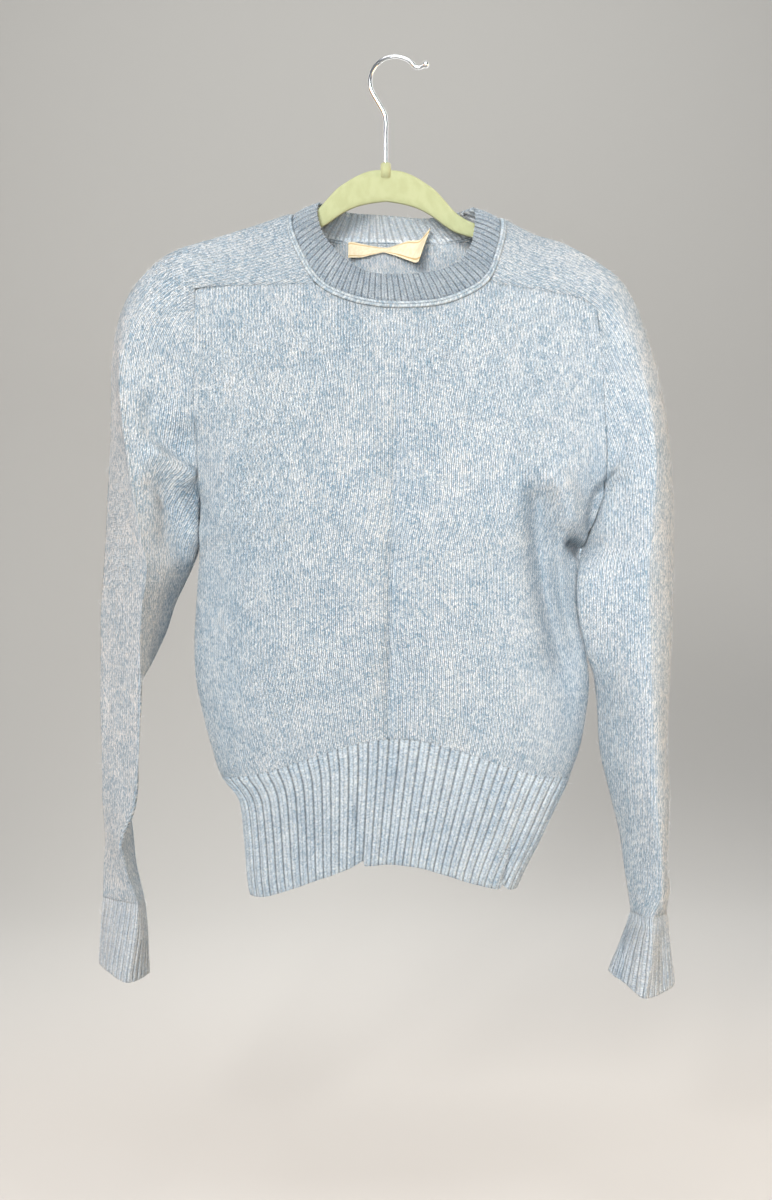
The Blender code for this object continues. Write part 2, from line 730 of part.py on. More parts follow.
def even_shares(face):
    """The ribs' shares of the width, evenly spaced round the body and not across it."""
    fine = 400
    line = [body_point(face, i / fine, 2.5) for i in range(fine + 1)]
    lengths = lengths_along(line)
    count = 2 * WAIST_RIBS
    places = [i / fine for i in range(fine + 1)]
    return [straight(lengths, places, lengths[-1] * i / count) for i in range(count + 1)]


def inset_row(row, face):
    """A row moved in by the wall, level, and kept to its own side of the side seams."""
    inset = []
    for i, point in enumerate(row):
        along = row[min(i + 1, len(row) - 1)] - row[max(i - 1, 0)]
        if i in (0, len(row) - 1):
            inward = Vector((1 if i == 0 else -1, 0, 0))
        else:
            along.z = 0
            inward = Vector((-along.y, along.x, 0)).normalized()
            if face == "back":
                inward = -inward
        inset.append(point + inward * WALL)
    return inset


def make_cuff(side, lines, top, material):
    columns = 2 * CUFF_RIBS
    drop = Vector((0, 0, -SEAM_GAP))
    top_outer = even_points(top[0] + top[0][:1], columns)[:-1]
    top_inner = even_points(top[1] + top[1][:1], columns)[:-1]
    base_rows, rises = [], []
    for share, rise in RIB_ROWS:
        if share == 0:
            row = [point + drop for point in top_outer]
        else:
            fine = [sleeve_point(lines[side], side, i / 96, 3 + share) for i in range(97)]
            row = even_points(fine, columns)[:-1]
        base_rows.append(row)
        rises.append((RIB_RISE * rise, 0.0))
    inner_rows = [[point + drop for point in top_inner[::2]]]
    for k in (3, 6):
        row = base_rows[k]
        inset = []
        for i, point in enumerate(row):
            along = row[(i + 1) % columns] - row[i - 1]
            along.z = 0
            inward = Vector((along.y, -along.x, 0)).normalized()
            inset.append(point + (inward if side == "left" else -inward) * WALL)
        inner_rows.append(inset[::2])
    make_ribbed(f"cuff_{side}", base_rows, rises, inner_rows, True, side == "right", material)


def neck_ring(lines):
    """The whole neck seam from the front's centre, round the viewer's left, and back to it."""
    front, back = neck_line("front", lines), neck_line("back", lines)
    left, right = neck_line("left", lines), neck_line("right", lines)
    middle = NECK_STEPS // 2
    quarters = (
        front[: middle + 1][::-1] + left[1 : AROUND_STEPS // 2 + 1],
        left[AROUND_STEPS // 2 :] + back[1 : middle + 1],
        back[middle:] + right[::-1][1 : AROUND_STEPS // 2 + 1],
        right[: AROUND_STEPS // 2 + 1][::-1] + front[::-1][1 : NECK_STEPS - middle + 1],
    )
    return quarters


def make_neckband(lines, material):
    """A band between the neck seam and its free edge, matched quarter by quarter."""
    edges = [[Vector(point) for point in NECK_EDGE[name]] for name in NECK_EDGE]
    counts = (52, 28, 28, 52)
    base, edge = [], []
    for quarter, (seam, free) in enumerate(zip(neck_ring(lines), edges)):
        base += even_points(seam, counts[quarter])[:-1]
        knots = [i / (len(free) - 1) for i in range(len(free))]
        curve = [smooth(knots, free, i / 60) for i in range(61)]
        edge += even_points(curve, counts[quarter])[:-1]
    wide = len(base)
    ups = [(edge[j] - base[j]).normalized() for j in range(wide)]
    outs = []
    for j in range(wide):
        along = base[(j + 1) % wide] - base[j - 1]
        out = along.cross(ups[j]).normalized()
        outs.append(out if out.dot(-neck_inward(base[j])) > 0 else -out)
    rows, rises, inner_rows = [], [], []
    for row in BAND:
        points = []
        for j in range(wide):
            start = base[j] + ups[j] * SEAM_GAP / 2
            points.append(start.lerp(edge[j], row.share) + outs[j] * row.bow)
        rows.append(points)
        rises.append((ROLL_RISE * row.roll + RIB_RISE * row.ribs, ROLL_RISE * row.roll))
    for k in (0, 3, 5):
        inner = []
        for j in range(0, wide, 2):
            inward = -outs[j] if k else clipped(neck_inward(base[j]), -ups[j])
            inner.append(rows[k][j] + inward * WALL)
        inner_rows.append(inner)
    make_ribbed("neckband", rows, rises, inner_rows, True, True, material)


def clipped(way, across):
    return (way - across * max(way.dot(across), 0.0)).normalized()


def make_label(material):
    xs = [column.x for column in LABEL]
    points = []
    for k in range(LABEL_STEPS_DOWN + 1):
        for j in range(LABEL_STEPS_ACROSS + 1):
            x = mix(xs[0], xs[-1], j / LABEL_STEPS_ACROSS)
            top, low, top_y, low_y = (
                smooth(xs, [getattr(column, name) for column in LABEL], x)
                for name in ("top_z", "bottom_z", "top_y", "bottom_y")
            )
            share = k / LABEL_STEPS_DOWN
            points.append(Vector((x, mix(top_y, low_y, share**1.4), mix(top, low, share))))
    wide = LABEL_STEPS_ACROSS + 1
    faces = []
    for k in range(LABEL_STEPS_DOWN):
        for j in range(LABEL_STEPS_ACROSS):
            a = k * wide + j
            faces.append((a, a + wide, a + wide + 1, a + 1))
    back = wall_inside(points, faces, {}, LABEL_THICKNESS)
    add_solid("neck_label", points + back, closed_faces(faces, len(points)), material)


def hanger_edge(column, x):
    reach = abs(x - HANGER_CENTRE_X)
    z = smooth([row.reach for row in HANGER], [getattr(row, column) for row in HANGER], reach)
    return z - (x - HANGER_CENTRE_X) * HANGER_TILT


def make_hanger_body(material):
    """A flat moulded bow with rounded edges, lofted from tip to tip, with a stub for the hook."""
    count = round(2 * HANGER_REACH / HANGER_STEP)
    half = HANGER_THICKNESS / 2
    points, faces = [], []
    for i in range(count + 1):
        x = HANGER_CENTRE_X + mix(-HANGER_REACH, HANGER_REACH, i / count)
        top, low = hanger_edge("top_z", x), hanger_edge("bottom_z", x)
        tip = 2.2 if i in (0, count) else 0.0
        top, low = top - tip, low + tip
        soft = min(1.6, 0.3 * (top - low))
        section = (
            (-half, low + soft), (-half, top - soft), (-half + soft, top), (half - soft, top),
            (half, top - soft), (half, low + soft), (half - soft, low), (-half + soft, low),
        )
        points += [Vector((x, y, z)) for y, z in section]
    size = len(section)
    for i in range(count):
        for j in range(size):
            a, b = i * size + j, i * size + (j + 1) % size
            faces.append((a, a + size, b + size, b))
    faces.append(tuple(range(size)))
    faces.append(tuple(count * size + j for j in reversed(range(size))))
    body = add_solid("hanger_body", points, faces, material)
    stub = add_cylinder("stub", STUB_RADIUS, STUB_TOP_Z, STUB_TOP_Z - 14)
    socket = add_cylinder("socket", WIRE_RADIUS + SEAM_GAP, STUB_TOP_Z + 4, STUB_TOP_Z - SOCKET_DEPTH)
    for tool, operation in ((stub, "UNION"), (socket, "DIFFERENCE")):
        cut = body.modifiers.new(tool.name, "BOOLEAN")
        cut.operation = operation
        cut.object = tool
        cut.use_self = True
        tool.hide_render = True
        tool.display_type = "WIRE"


def add_cylinder(name, radius, top, bottom, sides=20):
    """An upright round helper on the hook's stem, flattened to stay within the hanger's width."""
    points = []
    for z in (bottom, top):
        for i in range(sides):
            angle = 2 * math.pi * i / sides
            x = HOOK_STEM_X + radius * math.cos(angle)
            points.append(Vector((x, radius * math.sin(angle), z)))
    faces = [tuple(reversed(range(sides))), tuple(range(sides, 2 * sides))]
    for i in range(sides):
        j = (i + 1) % sides
        faces.append((i, j, j + sides, i + sides))
    return add_solid(name, points, faces, None, flat=True)


def hook_path():
    """The wire's centre line from the socket up the stem, round the top, and out to its ball."""
    cx, cz = HOOK_CENTRE
    path = [Vector((HOOK_STEM_X, 0, z)) for z in (STUB_TOP_Z - SOCKET_DEPTH + SEAM_GAP, -85, -68, -56)]
    path += [Vector((x, 0, z)) for x, z in ((-6.4, -50.8), (-9.5, -44.6), (-13.6, -37.6))]
    for degrees in range(204, 29, -12):
        angle = math.radians(degrees)
        path.append(Vector((cx + HOOK_RADIUS * math.cos(angle), 0, cz + HOOK_RADIUS * math.sin(angle))))
    path += [Vector((cx + 22.6, 0, cz + 12.6)), Vector((cx + 25.6, 0, cz + 14.2))]
    return path


def make_hook(material):
    sides = 10
    path = hook_path()
    lengths = lengths_along(path)
    steps = 44
    stations = [(smooth(lengths, path, lengths[-1] * i / steps), WIRE_RADIUS) for i in range(steps + 1)]
    way = (path[-1] - path[-2]).normalized()
    ball_centre = path[-1] + way * BALL_RADIUS
    for degrees in range(130, -1, -26):
        angle = math.radians(degrees)
        radius = BALL_RADIUS * math.sin(angle) + 0.05
        stations.append((ball_centre + way * BALL_RADIUS * math.cos(angle + math.pi) * -1, radius))
    points, faces = [], []
    for i, (centre, radius) in enumerate(stations):
        low, high = stations[max(i - 1, 0)][0], stations[min(i + 1, len(stations) - 1)][0]
        along = (high - low).normalized()
        side = Vector((0, 1, 0))
        up = along.cross(side).normalized()
        for j in range(sides):
            angle = 2 * math.pi * j / sides
            points.append(centre + radius * (side * math.cos(angle) + up * math.sin(angle)))
    for i in range(len(stations) - 1):
        for j in range(sides):
            a, b = i * sides + j, i * sides + (j + 1) % sides
            faces.append((a, b, b + sides, a + sides))
    faces.append(tuple(reversed(range(sides))))
    faces.append(tuple((len(stations) - 1) * sides + j for j in range(sides)))
    add_solid("hanger_hook", points, faces, material)


def make_material(name, colour, roughness, metallic=0.0):
    material = bpy.data.materials.new(name)
    material.use_nodes = True
    shader = material.node_tree.nodes["Principled BSDF"]
    shader.inputs["Base Color"].default_value = (*colour, 1.0)
    shader.inputs["Roughness"].default_value = roughness
    shader.inputs["Metallic"].default_value = metallic
    return material


def main():
    clear_scene()
    wool = make_material("heathered_wool", (0.56, 0.63, 0.67), 0.95)
    rib = make_material("ribbed_wool", (0.51, 0.58, 0.62), 0.95)
    flock = make_material("flocked_plastic", (0.70, 0.70, 0.44), 0.9)
    chrome = make_material("chromed_wire", (0.80, 0.80, 0.80), 0.15, 1.0)
    satin = make_material("woven_label", (0.84, 0.74, 0.55), 0.5)
    lines = {side: sleeve_lines(side) for side in ("left", "right")}
    for face in ("front", "back"):
        bottom = make_body_panel(face, lines, wool)
        make_waist_rib(face, bottom, rib)
    for side in ("left", "right"):
        end = make_sleeve(side, lines, wool)
        make_cuff(side, lines, end, rib)
    make_neckband(lines, rib)
    make_label(satin)
    make_hanger_body(flock)
    make_hook(chrome)


main()
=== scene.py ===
# A saddle-shoulder crewneck pullover in pale heathered wool, hanging on its flocked hanger.
#
# Shapes are worked out in millimetres of the garment's own tables, where the hook hangs on the
# line x = 2.7; toRow() turns them into metres of the part's frame. The front faces -Y, left is the
# viewer's left. Each knitted piece is a thin shell on the surface of the CAD node it stands for.

import bisect
import math
import random

import bmesh
import bpy
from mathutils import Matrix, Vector, noise


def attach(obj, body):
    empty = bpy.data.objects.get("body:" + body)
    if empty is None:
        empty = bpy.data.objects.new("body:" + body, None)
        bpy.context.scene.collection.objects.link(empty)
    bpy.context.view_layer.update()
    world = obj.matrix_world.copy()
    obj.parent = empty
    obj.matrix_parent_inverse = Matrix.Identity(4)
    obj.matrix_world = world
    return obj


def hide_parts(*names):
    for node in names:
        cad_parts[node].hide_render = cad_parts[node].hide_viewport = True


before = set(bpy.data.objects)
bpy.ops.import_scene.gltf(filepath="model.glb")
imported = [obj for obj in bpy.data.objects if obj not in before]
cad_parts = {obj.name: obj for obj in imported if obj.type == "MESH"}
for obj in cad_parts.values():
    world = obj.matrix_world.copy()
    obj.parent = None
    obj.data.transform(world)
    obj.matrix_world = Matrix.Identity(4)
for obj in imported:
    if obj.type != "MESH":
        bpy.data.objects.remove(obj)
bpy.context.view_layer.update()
print("frame loaded")

hookLineX = 2.7
wallThickness = 0.0021
stitchWidth = 3.0  # one wale of stocking stitch, in mm, as knitted
courseHeight = 2.3  # one course, in mm, as knitted


def toRow(p):
    return Vector(((p.x - hookLineX) * 0.001, p.y * 0.001, p.z * 0.001))


def spanAt(knots, at):
    # which span of the knots a value is in, and how far along it
    last = len(knots) - 1
    at = min(max(at, knots[0]), knots[last])
    i = 0
    while i < last - 1 and at > knots[i + 1]:
        i += 1
    return i, (at - knots[i]) / (knots[i + 1] - knots[i])


def smooth(knots, values, at):
    i, f = spanAt(knots, at)
    step = knots[i + 1] - knots[i]
    ends = []
    for k in (i, i + 1):
        low, high = max(k - 1, 0), min(k + 1, len(knots) - 1)
        ends.append((values[high] - values[low]) / (knots[high] - knots[low]) * step)
    rise = values[i + 1] - values[i]
    start, end = ends
    bend, twist = 3 * rise - 2 * start - end, start + end - 2 * rise
    return values[i] + f * start + f * f * bend + f**3 * twist


def straight(knots, values, at):
    i, f = spanAt(knots, at)
    return values[i] + f * (values[i + 1] - values[i])


def mix(a, b, share):
    return a + (b - a) * share


def ease(share):
    share = min(max(share, 0.0), 1.0)
    return share * share * (3 - 2 * share)


def bump(distance, width):
    return math.exp(-((distance / width) ** 2))


def lengthsAlong(points):
    steps = [0.0]
    for a, b in zip(points, points[1:]):
        steps.append(steps[-1] + (b - a).length)
    return steps


def ringNoise(u, reach, along):
    # noise that closes on itself, where u runs once round
    angle = 2 * math.pi * u
    return noise.noise(Vector((math.cos(angle) * reach, math.sin(angle) * reach, along)))


def facingOf(face):
    return Vector((0, -1 if face == "front" else 1, 0))


# the camera and the light

camera = bpy.data.objects.new("camera", bpy.data.cameras.new("camera"))
camera.data.lens = 43.3
camera.data.sensor_width = 36
camera.data.clip_end = 20
camera.location = (-0.0081, -1.3, -0.4878)
camera.rotation_euler = (math.radians(90), 0, 0)
bpy.context.collection.objects.link(camera)
bpy.context.scene.camera = camera


def hexColour(text):
    parts = [int(text[i : i + 2], 16) / 255 for i in (0, 2, 4)]
    return tuple(c / 12.92 if c <= 0.04045 else ((c + 0.055) / 1.055) ** 2.4 for c in parts) + (1.0,)


def addLight(name, place, target, width, height, power, colour, spread=180):
    data = bpy.data.lights.new(name, "AREA")
    data.shape = "RECTANGLE"
    data.size = width
    data.size_y = height
    data.energy = power
    data.color = hexColour(colour)[:3]
    data.spread = math.radians(spread)
    light = bpy.data.objects.new(name, data)
    light.location = place
    light.rotation_euler = (Vector(target) - Vector(place)).to_track_quat("-Z", "Y").to_euler()
    bpy.context.collection.objects.link(light)


garmentMiddle = (0.0, 0.0, -0.48)
addLight("keySoftbox", (-0.75, -2.05, 0.35), garmentMiddle, 0.6, 0.6, 52, "FFFEFC")
addLight("fillSoftbox", (-0.3, -2.1, -0.55), garmentMiddle, 0.9, 0.9, 13, "F2F7FF")
addLight("neckSoftbox", (0.0, -1.25, -0.33), (0.0, 0.0, -0.16), 0.25, 0.25, 3.0, "F6FAFF")
addLight("rightGrid", (0.5, -0.95, -0.45), (0.23, 0.0, -0.47), 0.15, 0.7, 0.33, "F8FAFC", 32)
addLight("leftWarm", (-1.6, -0.2, -0.42), garmentMiddle, 0.6, 1.1, 2.6, "FFBC7C", 90)
addLight("rightWarm", (1.7, -0.28, -0.42), garmentMiddle, 0.5, 1.1, 6.0, "FFD6A8", 90)
addLight("topSoftbox", (0.1, -0.7, 1.2), (0.0, 0.0, -0.15), 1.0, 0.7, 12, "FFFFFF")
addLight("backSoftbox", (0.3, 1.9, 0.4), garmentMiddle, 1.8, 1.8, 22, "FFFFFF", 110)
addLight("backdropWash", (0.0, 0.9, 2.3), (0.0, 2.4, -0.2), 3.0, 0.8, 14, "FFFDF8", 100)
# plain colours, so that the pale wool keeps its own blue
bpy.context.scene.view_settings.view_transform = "Standard"

world = bpy.data.worlds.new("studio")
bpy.context.scene.world = world
world.use_nodes = True
background = world.node_tree.nodes["Background"]
background.inputs["Color"].default_value = hexColour("DDE3EA")
background.inputs["Strength"].default_value = 0.32
print("camera and lights placed")


# small node helpers


def addNode(tree, kind, inputs=None, **settings):
    node = tree.nodes.new(kind)
    for key, value in settings.items():
        setattr(node, key, value)
    for key, value in (inputs or {}).items():
        if isinstance(value, bpy.types.NodeSocket):
            tree.links.new(value, node.inputs[key])
        else:
            node.inputs[key].default_value = value
    return node


def maths(tree, operation, a, b=None, c=None, clamp=False):
    inputs = {0: a}
    if b is not None:
        inputs[1] = b
    if c is not None:
        inputs[2] = c
    return addNode(tree, "ShaderNodeMath", inputs, operation=operation, use_clamp=clamp).outputs[0]


def ramp(tree, value, low, high, toLow=0.0, toHigh=1.0):
    return addNode(
        tree,
        "ShaderNodeMapRange",
        {"Value": value, "From Min": low, "From Max": high, "To Min": toLow, "To Max": toHigh},
        interpolation_type="SMOOTHSTEP",
    ).outputs["Result"]


def mixColour(tree, share, a, b, blend="MIX"):
    # a colour mix has its share at socket 0 and its colours at 6 and 7
    inputs = {0: share, 6: a, 7: b}
    return addNode(tree, "ShaderNodeMix", inputs, data_type="RGBA", blend_type=blend).outputs[2]


def noiseAt(tree, vector, scale, detail=2.0, roughness=0.5):
    return addNode(
        tree,
        "ShaderNodeTexNoise",
        {"Vector": vector, "Scale": scale, "Detail": detail, "Roughness": roughness},
    ).outputs["Fac"]


def stretched(tree, vector, sx, sy, shift=0.0):
    inputs = {"Vector": vector, "Scale": (sx, sy, 1.0), "Location": (shift, shift * 0.7, shift)}
    return addNode(tree, "ShaderNodeMapping", inputs).outputs["Vector"]


def patches(tree, vector, sx, sy, shift=0.0, detail=2.0, roughness=0.5):
    # sx and sy are how many patches there are to a millimetre
    return noiseAt(tree, stretched(tree, vector, sx, sy, shift), 1.0, detail, roughness)


def newMaterial(name, roughness, specular=0.3):
    material = bpy.data.materials.new(name)
    material.use_nodes = True
    shader = material.node_tree.nodes["Principled BSDF"]
    shader.inputs["Roughness"].default_value = roughness
    shader.inputs["Specular IOR Level"].default_value = specular
    return material, material.node_tree, shader


# wool


def knitMaterial(name, tones, wander=1.2, ribStretch=1.0, ownWeight=0.27, edgeStart=0.5):
    # heathered yarn in stocking stitch, drawn at the size of the real stitches, since the UVs are
    # millimetres across and along the wales; ribStretch brings the heather back to scale on a rib
    material, tree, shader = newMaterial(name, 0.95, 0.12)
    uv = addNode(tree, "ShaderNodeUVMap", uv_map="stitches").outputs["UV"]
    split = addNode(tree, "ShaderNodeSeparateXYZ", {"Vector": uv})
    noiseUV = stretched(tree, uv, ribStretch, 1.0)
    wobble = noiseAt(tree, noiseUV, 0.14, 2.0)  # wales and courses wander over some 7 mm
    acrossWander = maths(tree, "MULTIPLY", wobble, wander)
    across = maths(tree, "DIVIDE", maths(tree, "ADD", split.outputs["X"], acrossWander), stitchWidth)
    alongWander = maths(tree, "MULTIPLY", wobble, 2.6)
    along = maths(tree, "DIVIDE", maths(tree, "ADD", split.outputs["Y"], alongWander), courseHeight)

    # each wale is a column of Vs: two legs that lean out from its middle
    wale = maths(tree, "FRACT", across)
    fromMiddle = maths(tree, "ABSOLUTE", maths(tree, "SUBTRACT", wale, 0.5))
    fromMiddle = maths(tree, "MULTIPLY", fromMiddle, 2.0)
    course = maths(tree, "SUBTRACT", along, maths(tree, "MULTIPLY", fromMiddle, 0.9))
    legAcross = maths(tree, "SINE", maths(tree, "MULTIPLY", fromMiddle, math.pi), clamp=True)
    legAcross = maths(tree, "POWER", legAcross, 0.55)
    legAlong = maths(tree, "MULTIPLY", maths(tree, "FRACT", course), math.pi)
    legAlong = maths(tree, "POWER", maths(tree, "SINE", legAlong, clamp=True), 0.7)
    stitch = maths(tree, "MULTIPLY", legAcross, maths(tree, "MULTIPLY_ADD", legAlong, 0.6, 0.4))

    # each leg takes its own tone from the heather, within longer runs and soft clouds
    legs = addNode(tree, "ShaderNodeCombineXYZ", {
        "X": maths(tree, "FLOOR", maths(tree, "MULTIPLY", across, 2.0)), "Y": maths(tree, "FLOOR", course)})
    ownTone = addNode(
        tree, "ShaderNodeTexWhiteNoise", {"Vector": legs.outputs["Vector"]}, noise_dimensions="2D"
    )
    specks = patches(tree, noiseUV, 0.74, 0.58, 31.0, 2.0, 0.6)  # about 1.5 mm
    runs = patches(tree, noiseUV, 0.12, 0.13, 3.0, 2.0, 0.55)  # about 8 mm
    clouds = patches(tree, noiseUV, 0.034, 0.028, 7.0, 3.0, 0.6)  # about 30 mm
    heather = maths(tree, "MULTIPLY", specks, 0.66)
    heather = maths(tree, "MULTIPLY_ADD", ownTone.outputs["Value"], ownWeight, heather)
    heather = maths(tree, "MULTIPLY_ADD", runs, 0.20, heather)
    heather = maths(tree, "MULTIPLY_ADD", clouds, 0.26, heather)
    middle = 0.5 * (ownWeight - 0.24)
    blueToPale = ramp(tree, heather, 0.44 + middle, 0.94 + middle)
    colour = mixColour(tree, blueToPale, hexColour(tones["blue"]), hexColour(tones["pale"]))

    # cream and grey hairs are mixed into the blue, as flecks of 1.5 mm
    cream = patches(tree, noiseUV, 0.7, 0.6, 57.0, 2.0, 0.6)
    colour = mixColour(tree, ramp(tree, cream, 0.54, 0.72, 0.0, 0.75), colour, hexColour(tones["cream"]))
    grey = patches(tree, noiseUV, 0.66, 0.55, 83.0, 2.0, 0.6)
    colour = mixColour(tree, ramp(tree, grey, 0.56, 0.74, 0.0, 0.7), colour, hexColour(tones["grey"]))

    # painted shade: the valleys beside the legs and between the wales are darkened in the colour, and the
    # tops of the legs a little lightened
    shade = ramp(tree, stitch, 0.0, 0.8, tones["valley"], 1.05)
    betweenWalesShade = ramp(tree, fromMiddle, edgeStart, 1.0, 1.0, tones["between"])
    shade = maths(tree, "MULTIPLY", shade, betweenWalesShade)
    colour = mixColour(tree, 1.0, colour, shade, "MULTIPLY")
    tree.links.new(colour, shader.inputs["Base Color"])

    fibre = patches(tree, noiseUV, 1.1, 1.3, 11.0, 4.0, 0.75)  # fine hair of under 1 mm
    relief = addNode(tree, "ShaderNodeBump", {"Height": stitch, "Strength": 1.0, "Distance": 0.0015})
    hairy = {"Height": fibre, "Strength": 0.9, "Distance": 0.0018, "Normal": relief.outputs["Normal"]}
    hairyBump = addNode(tree, "ShaderNodeBump", hairy)
    tree.links.new(hairyBump.outputs["Normal"], shader.inputs["Normal"])
    shader.inputs["Sheen Weight"].default_value = 0.25
    shader.inputs["Sheen Roughness"].default_value = 0.6
    shader.inputs["Sheen Tint"].default_value = hexColour("F2F4F4")
    return material


def toneSet(pale, blue, cream, grey, valley, between):
    # sRGB colours, then how dark the painted shade is in the valleys beside a leg and between the wales
    return {"pale": pale, "blue": blue, "cream": cream, "grey": grey, "valley": valley, "between": between}


# on a rib one column of Vs covers the whole rib, so it is drawn coarser than it is knitted
ribLook = {"wander": 0.1, "ribStretch": 2.4, "ownWeight": 0.1, "edgeStart": 0.62}

# woollen-spun wool in stocking stitch: soft, matt and pale blue, with flecks and small Vs whose valleys
# hold painted shade
woolMaterial = knitMaterial("heatheredWool", toneSet("FBFEFF", "8AACC3", "FFFCF3", "96A7B3", 0.52, 0.7))
# the same wool in rib: a shade deeper, with painted shade in dark upright lines between the ribs
ribMaterial = knitMaterial(
    "ribbedWool", toneSet("DEE6E9", "88A1B5", "E8E4D9", "8E9AA3", 0.76, 0.5), **ribLook
)
# the cuffs' rib, with fainter painted shade in the lines between its ribs
cuffMaterial = knitMaterial(
    "ribbedCuffWool", toneSet("E0E6E8", "8CA2B5", "EAE6DA", "929CA4", 0.76, 0.66), **ribLook
)
# the neckband's rib, painted darker and bluer than the other ribs: painted shade that tones down its
# brightly lit front
neckRibPaintedShadeMaterial = knitMaterial(
    "ribbedNeckWoolPaintedShade", toneSet("C4CDD2", "71889C", "CDCABF", "747F89", 0.76, 0.5), **ribLook
)
# the inner side of the rib and of the panels, painted paler than the outside as painted light, so that the
# shaded inside of the neck looks lit
ribInsidePaintedLightMaterial = knitMaterial(
    "ribbedWoolInsidePaintedLight", toneSet("FFFFFF", "B9CBDA", "FFFDF4", "BCC6CD", 0.86, 0.66), **ribLook
)
woolInsidePaintedLightMaterial = knitMaterial(
    "heatheredWoolInsidePaintedLight", toneSet("FFFFFF", "AFC6D6", "FFFCF2", "B4BFC8", 0.66, 0.82)
)
# the linking roll: round cord of small tight stitches, a little greyer than the panels, with painted shade
# in its valleys
cordMaterial = knitMaterial("linkedWool", toneSet("DCE4E7", "8CA3B4", "E2DED2", "8E9AA3", 0.55, 0.6), 0.3)

# loose wool fibres, nearly white, which give the outline its haze
fibreMaterial, _, fibreShader = newMaterial("looseWoolFibre", 0.8, 0.2)
fibreShader.inputs["Base Color"].default_value = hexColour("E9EEF1")
fibreShader.inputs["Sheen Weight"].default_value = 0.3
print("wool made")


# building pieces


def meshObject(name, mesh, material):
    for face in mesh.faces:
        face.smooth = True
    data = bpy.data.meshes.new(name)
    mesh.to_mesh(data)
    mesh.free()
    data.materials.append(material)
    item = bpy.data.objects.new(name, data)
    bpy.context.collection.objects.link(item)
    return item


def gridPiece(
    name, across, down, place, stitches, facing, material,
    relief=None, ring=False, thickness=wallThickness, inside=None,
):
    # a sheet of across x down faces: place(u, v) is its surface in mm, stitches(u, v) its UVs,
    # facing(point) roughly the way out at a point, relief(u, v) what is raised along the normals;
    # a ring's first and last columns are joined, and inside is the material of its inner side
    mesh = bmesh.new()
    bmesh.ops.create_grid(mesh, x_segments=across, y_segments=down, size=1.0)
    uvLayer = mesh.loops.layers.uv.new("stitches")
    shares = {}
    for vert in mesh.verts:
        shares[vert] = (min(max((vert.co.x + 1) / 2, 0), 1), min(max((1 - vert.co.y) / 2, 0), 1))
    for face in mesh.faces:
        for loop in face.loops:
            loop[uvLayer].uv = stitches(*shares[loop.vert])
    for vert, (u, v) in shares.items():
        vert.co = toRow(place(u, v))
    if ring:
        bmesh.ops.remove_doubles(mesh, verts=mesh.verts[:], dist=1e-6)
    mesh.normal_update()
    if sum(f.normal.dot(facing(f.calc_center_median())) for f in mesh.faces) < 0:
        bmesh.ops.reverse_faces(mesh, faces=mesh.faces[:])
        mesh.normal_update()
    if relief:
        raised = [(vert, vert.co + vert.normal * 0.001 * relief(*shares[vert])) for vert in mesh.verts]
        for vert, point in raised:
            vert.co = point
    piece = meshObject(name, mesh, material)
    if thickness:
        shell = piece.modifiers.new("wall", "SOLIDIFY")
        shell.thickness = thickness
        shell.offset = -1
        if inside:
            piece.data.materials.append(inside)
            shell.material_offset = 1
    return piece


def fuzz(name, piece, count, reach, seed):
    # short bent fibres all over a piece, flat ribbons that stand a little off its surface
    rng = random.Random(seed)
    data = piece.data
    areas, total = [], 0.0
    for polygon in data.polygons:
        total += polygon.area
        areas.append(total)
    verts, faces = [], []
    for _ in range(count):
        polygon = data.polygons[min(bisect.bisect(areas, rng.random() * total), len(areas) - 1)]
        corners = [data.vertices[i].co for i in polygon.vertices]
        a, b = rng.random(), rng.random()
        root = corners[0].lerp(corners[1], a).lerp(corners[3].lerp(corners[2], a), b)
        normal = polygon.normal
        along = Vector([rng.gauss(0, 1) for _ in range(3)])
        along = (along - normal * along.dot(normal)).normalized()
        turn = along.cross(normal) * rng.uniform(-0.9, 0.9)
        length = reach * 0.001 * rng.uniform(0.6, 1.2) * rng.choice((0.6, 0.8, 1.0, 1.5))
        lift = rng.uniform(0.15, 0.75)
        width = rng.uniform(0.05, 0.1) * 0.001
        points = []
        for k in range(4):
            f = k / 3
            rise = lift * f - 0.35 * f * f * rng.uniform(0.2, 1.4)
            way = along * f + turn * f * f * 0.8 + normal * rise
            points.append(root - normal * 0.0003 + way * length)
        side = normal.cross(along).lerp(normal, rng.random()).normalized() * width
        base = len(verts)
        for k in range(3):
            taper = 1 - 0.25 * k
            verts.append(points[k] - side * taper)
            verts.append(points[k] + side * taper)
        verts.append(points[3])
        faces.append((base, base + 1, base + 3, base + 2))
        faces.append((base + 2, base + 3, base + 5, base + 4))
        faces.append((base + 4, base + 5, base + 6))
    mesh = bpy.data.meshes.new(name)
    mesh.from_pydata(verts, [], faces)
    mesh.materials.append(fibreMaterial)
    halo = bpy.data.objects.new(name, mesh)
    bpy.context.collection.objects.link(halo)
    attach(halo, "root")


# the body's surface, as in the CAD

armpitZ = -440.0
ribTopZ = -645.0
hemZ = {"left": -751.0, "right": -744.5}
ribArch = {"top": 36, "hem": 30}  # how much higher the middle of the waist rib stands
# down the sides: the outline at left and right, and how far the front and back stand off the middle
body = {
    "z": (
        -211, -250, -312, -382, -415, -440, -472, -504, -533,
        -562, -590, -619, -646, -657, -669, -702, -735, -752,
    ),
    "left": (
        -174, -174, -174, -173.5, -173, -173, -175, -177, -178,
        -176, -170, -162.5, -153, -142.5, -135.5, -131.5, -129.5, -127,
    ),
    "right": (
        178, 183, 187, 189, 181, 172, 169.5, 170.5, 174.5,
        177.5, 174.5, 169, 159.5, 154, 148, 132.5, 115.5, 110,
    ),
    "front": (33, 36, 38, 39, 40, 40, 41, 42, 43, 44, 45, 46, 46, 45, 45, 44, 45, 46),
    "back": (32, 35, 37, 38, 39, 40, 41, 42, 43, 44, 45, 46, 46, 46, 45, 45, 47, 48),
}
bodyKnots = [-z for z in body["z"]]
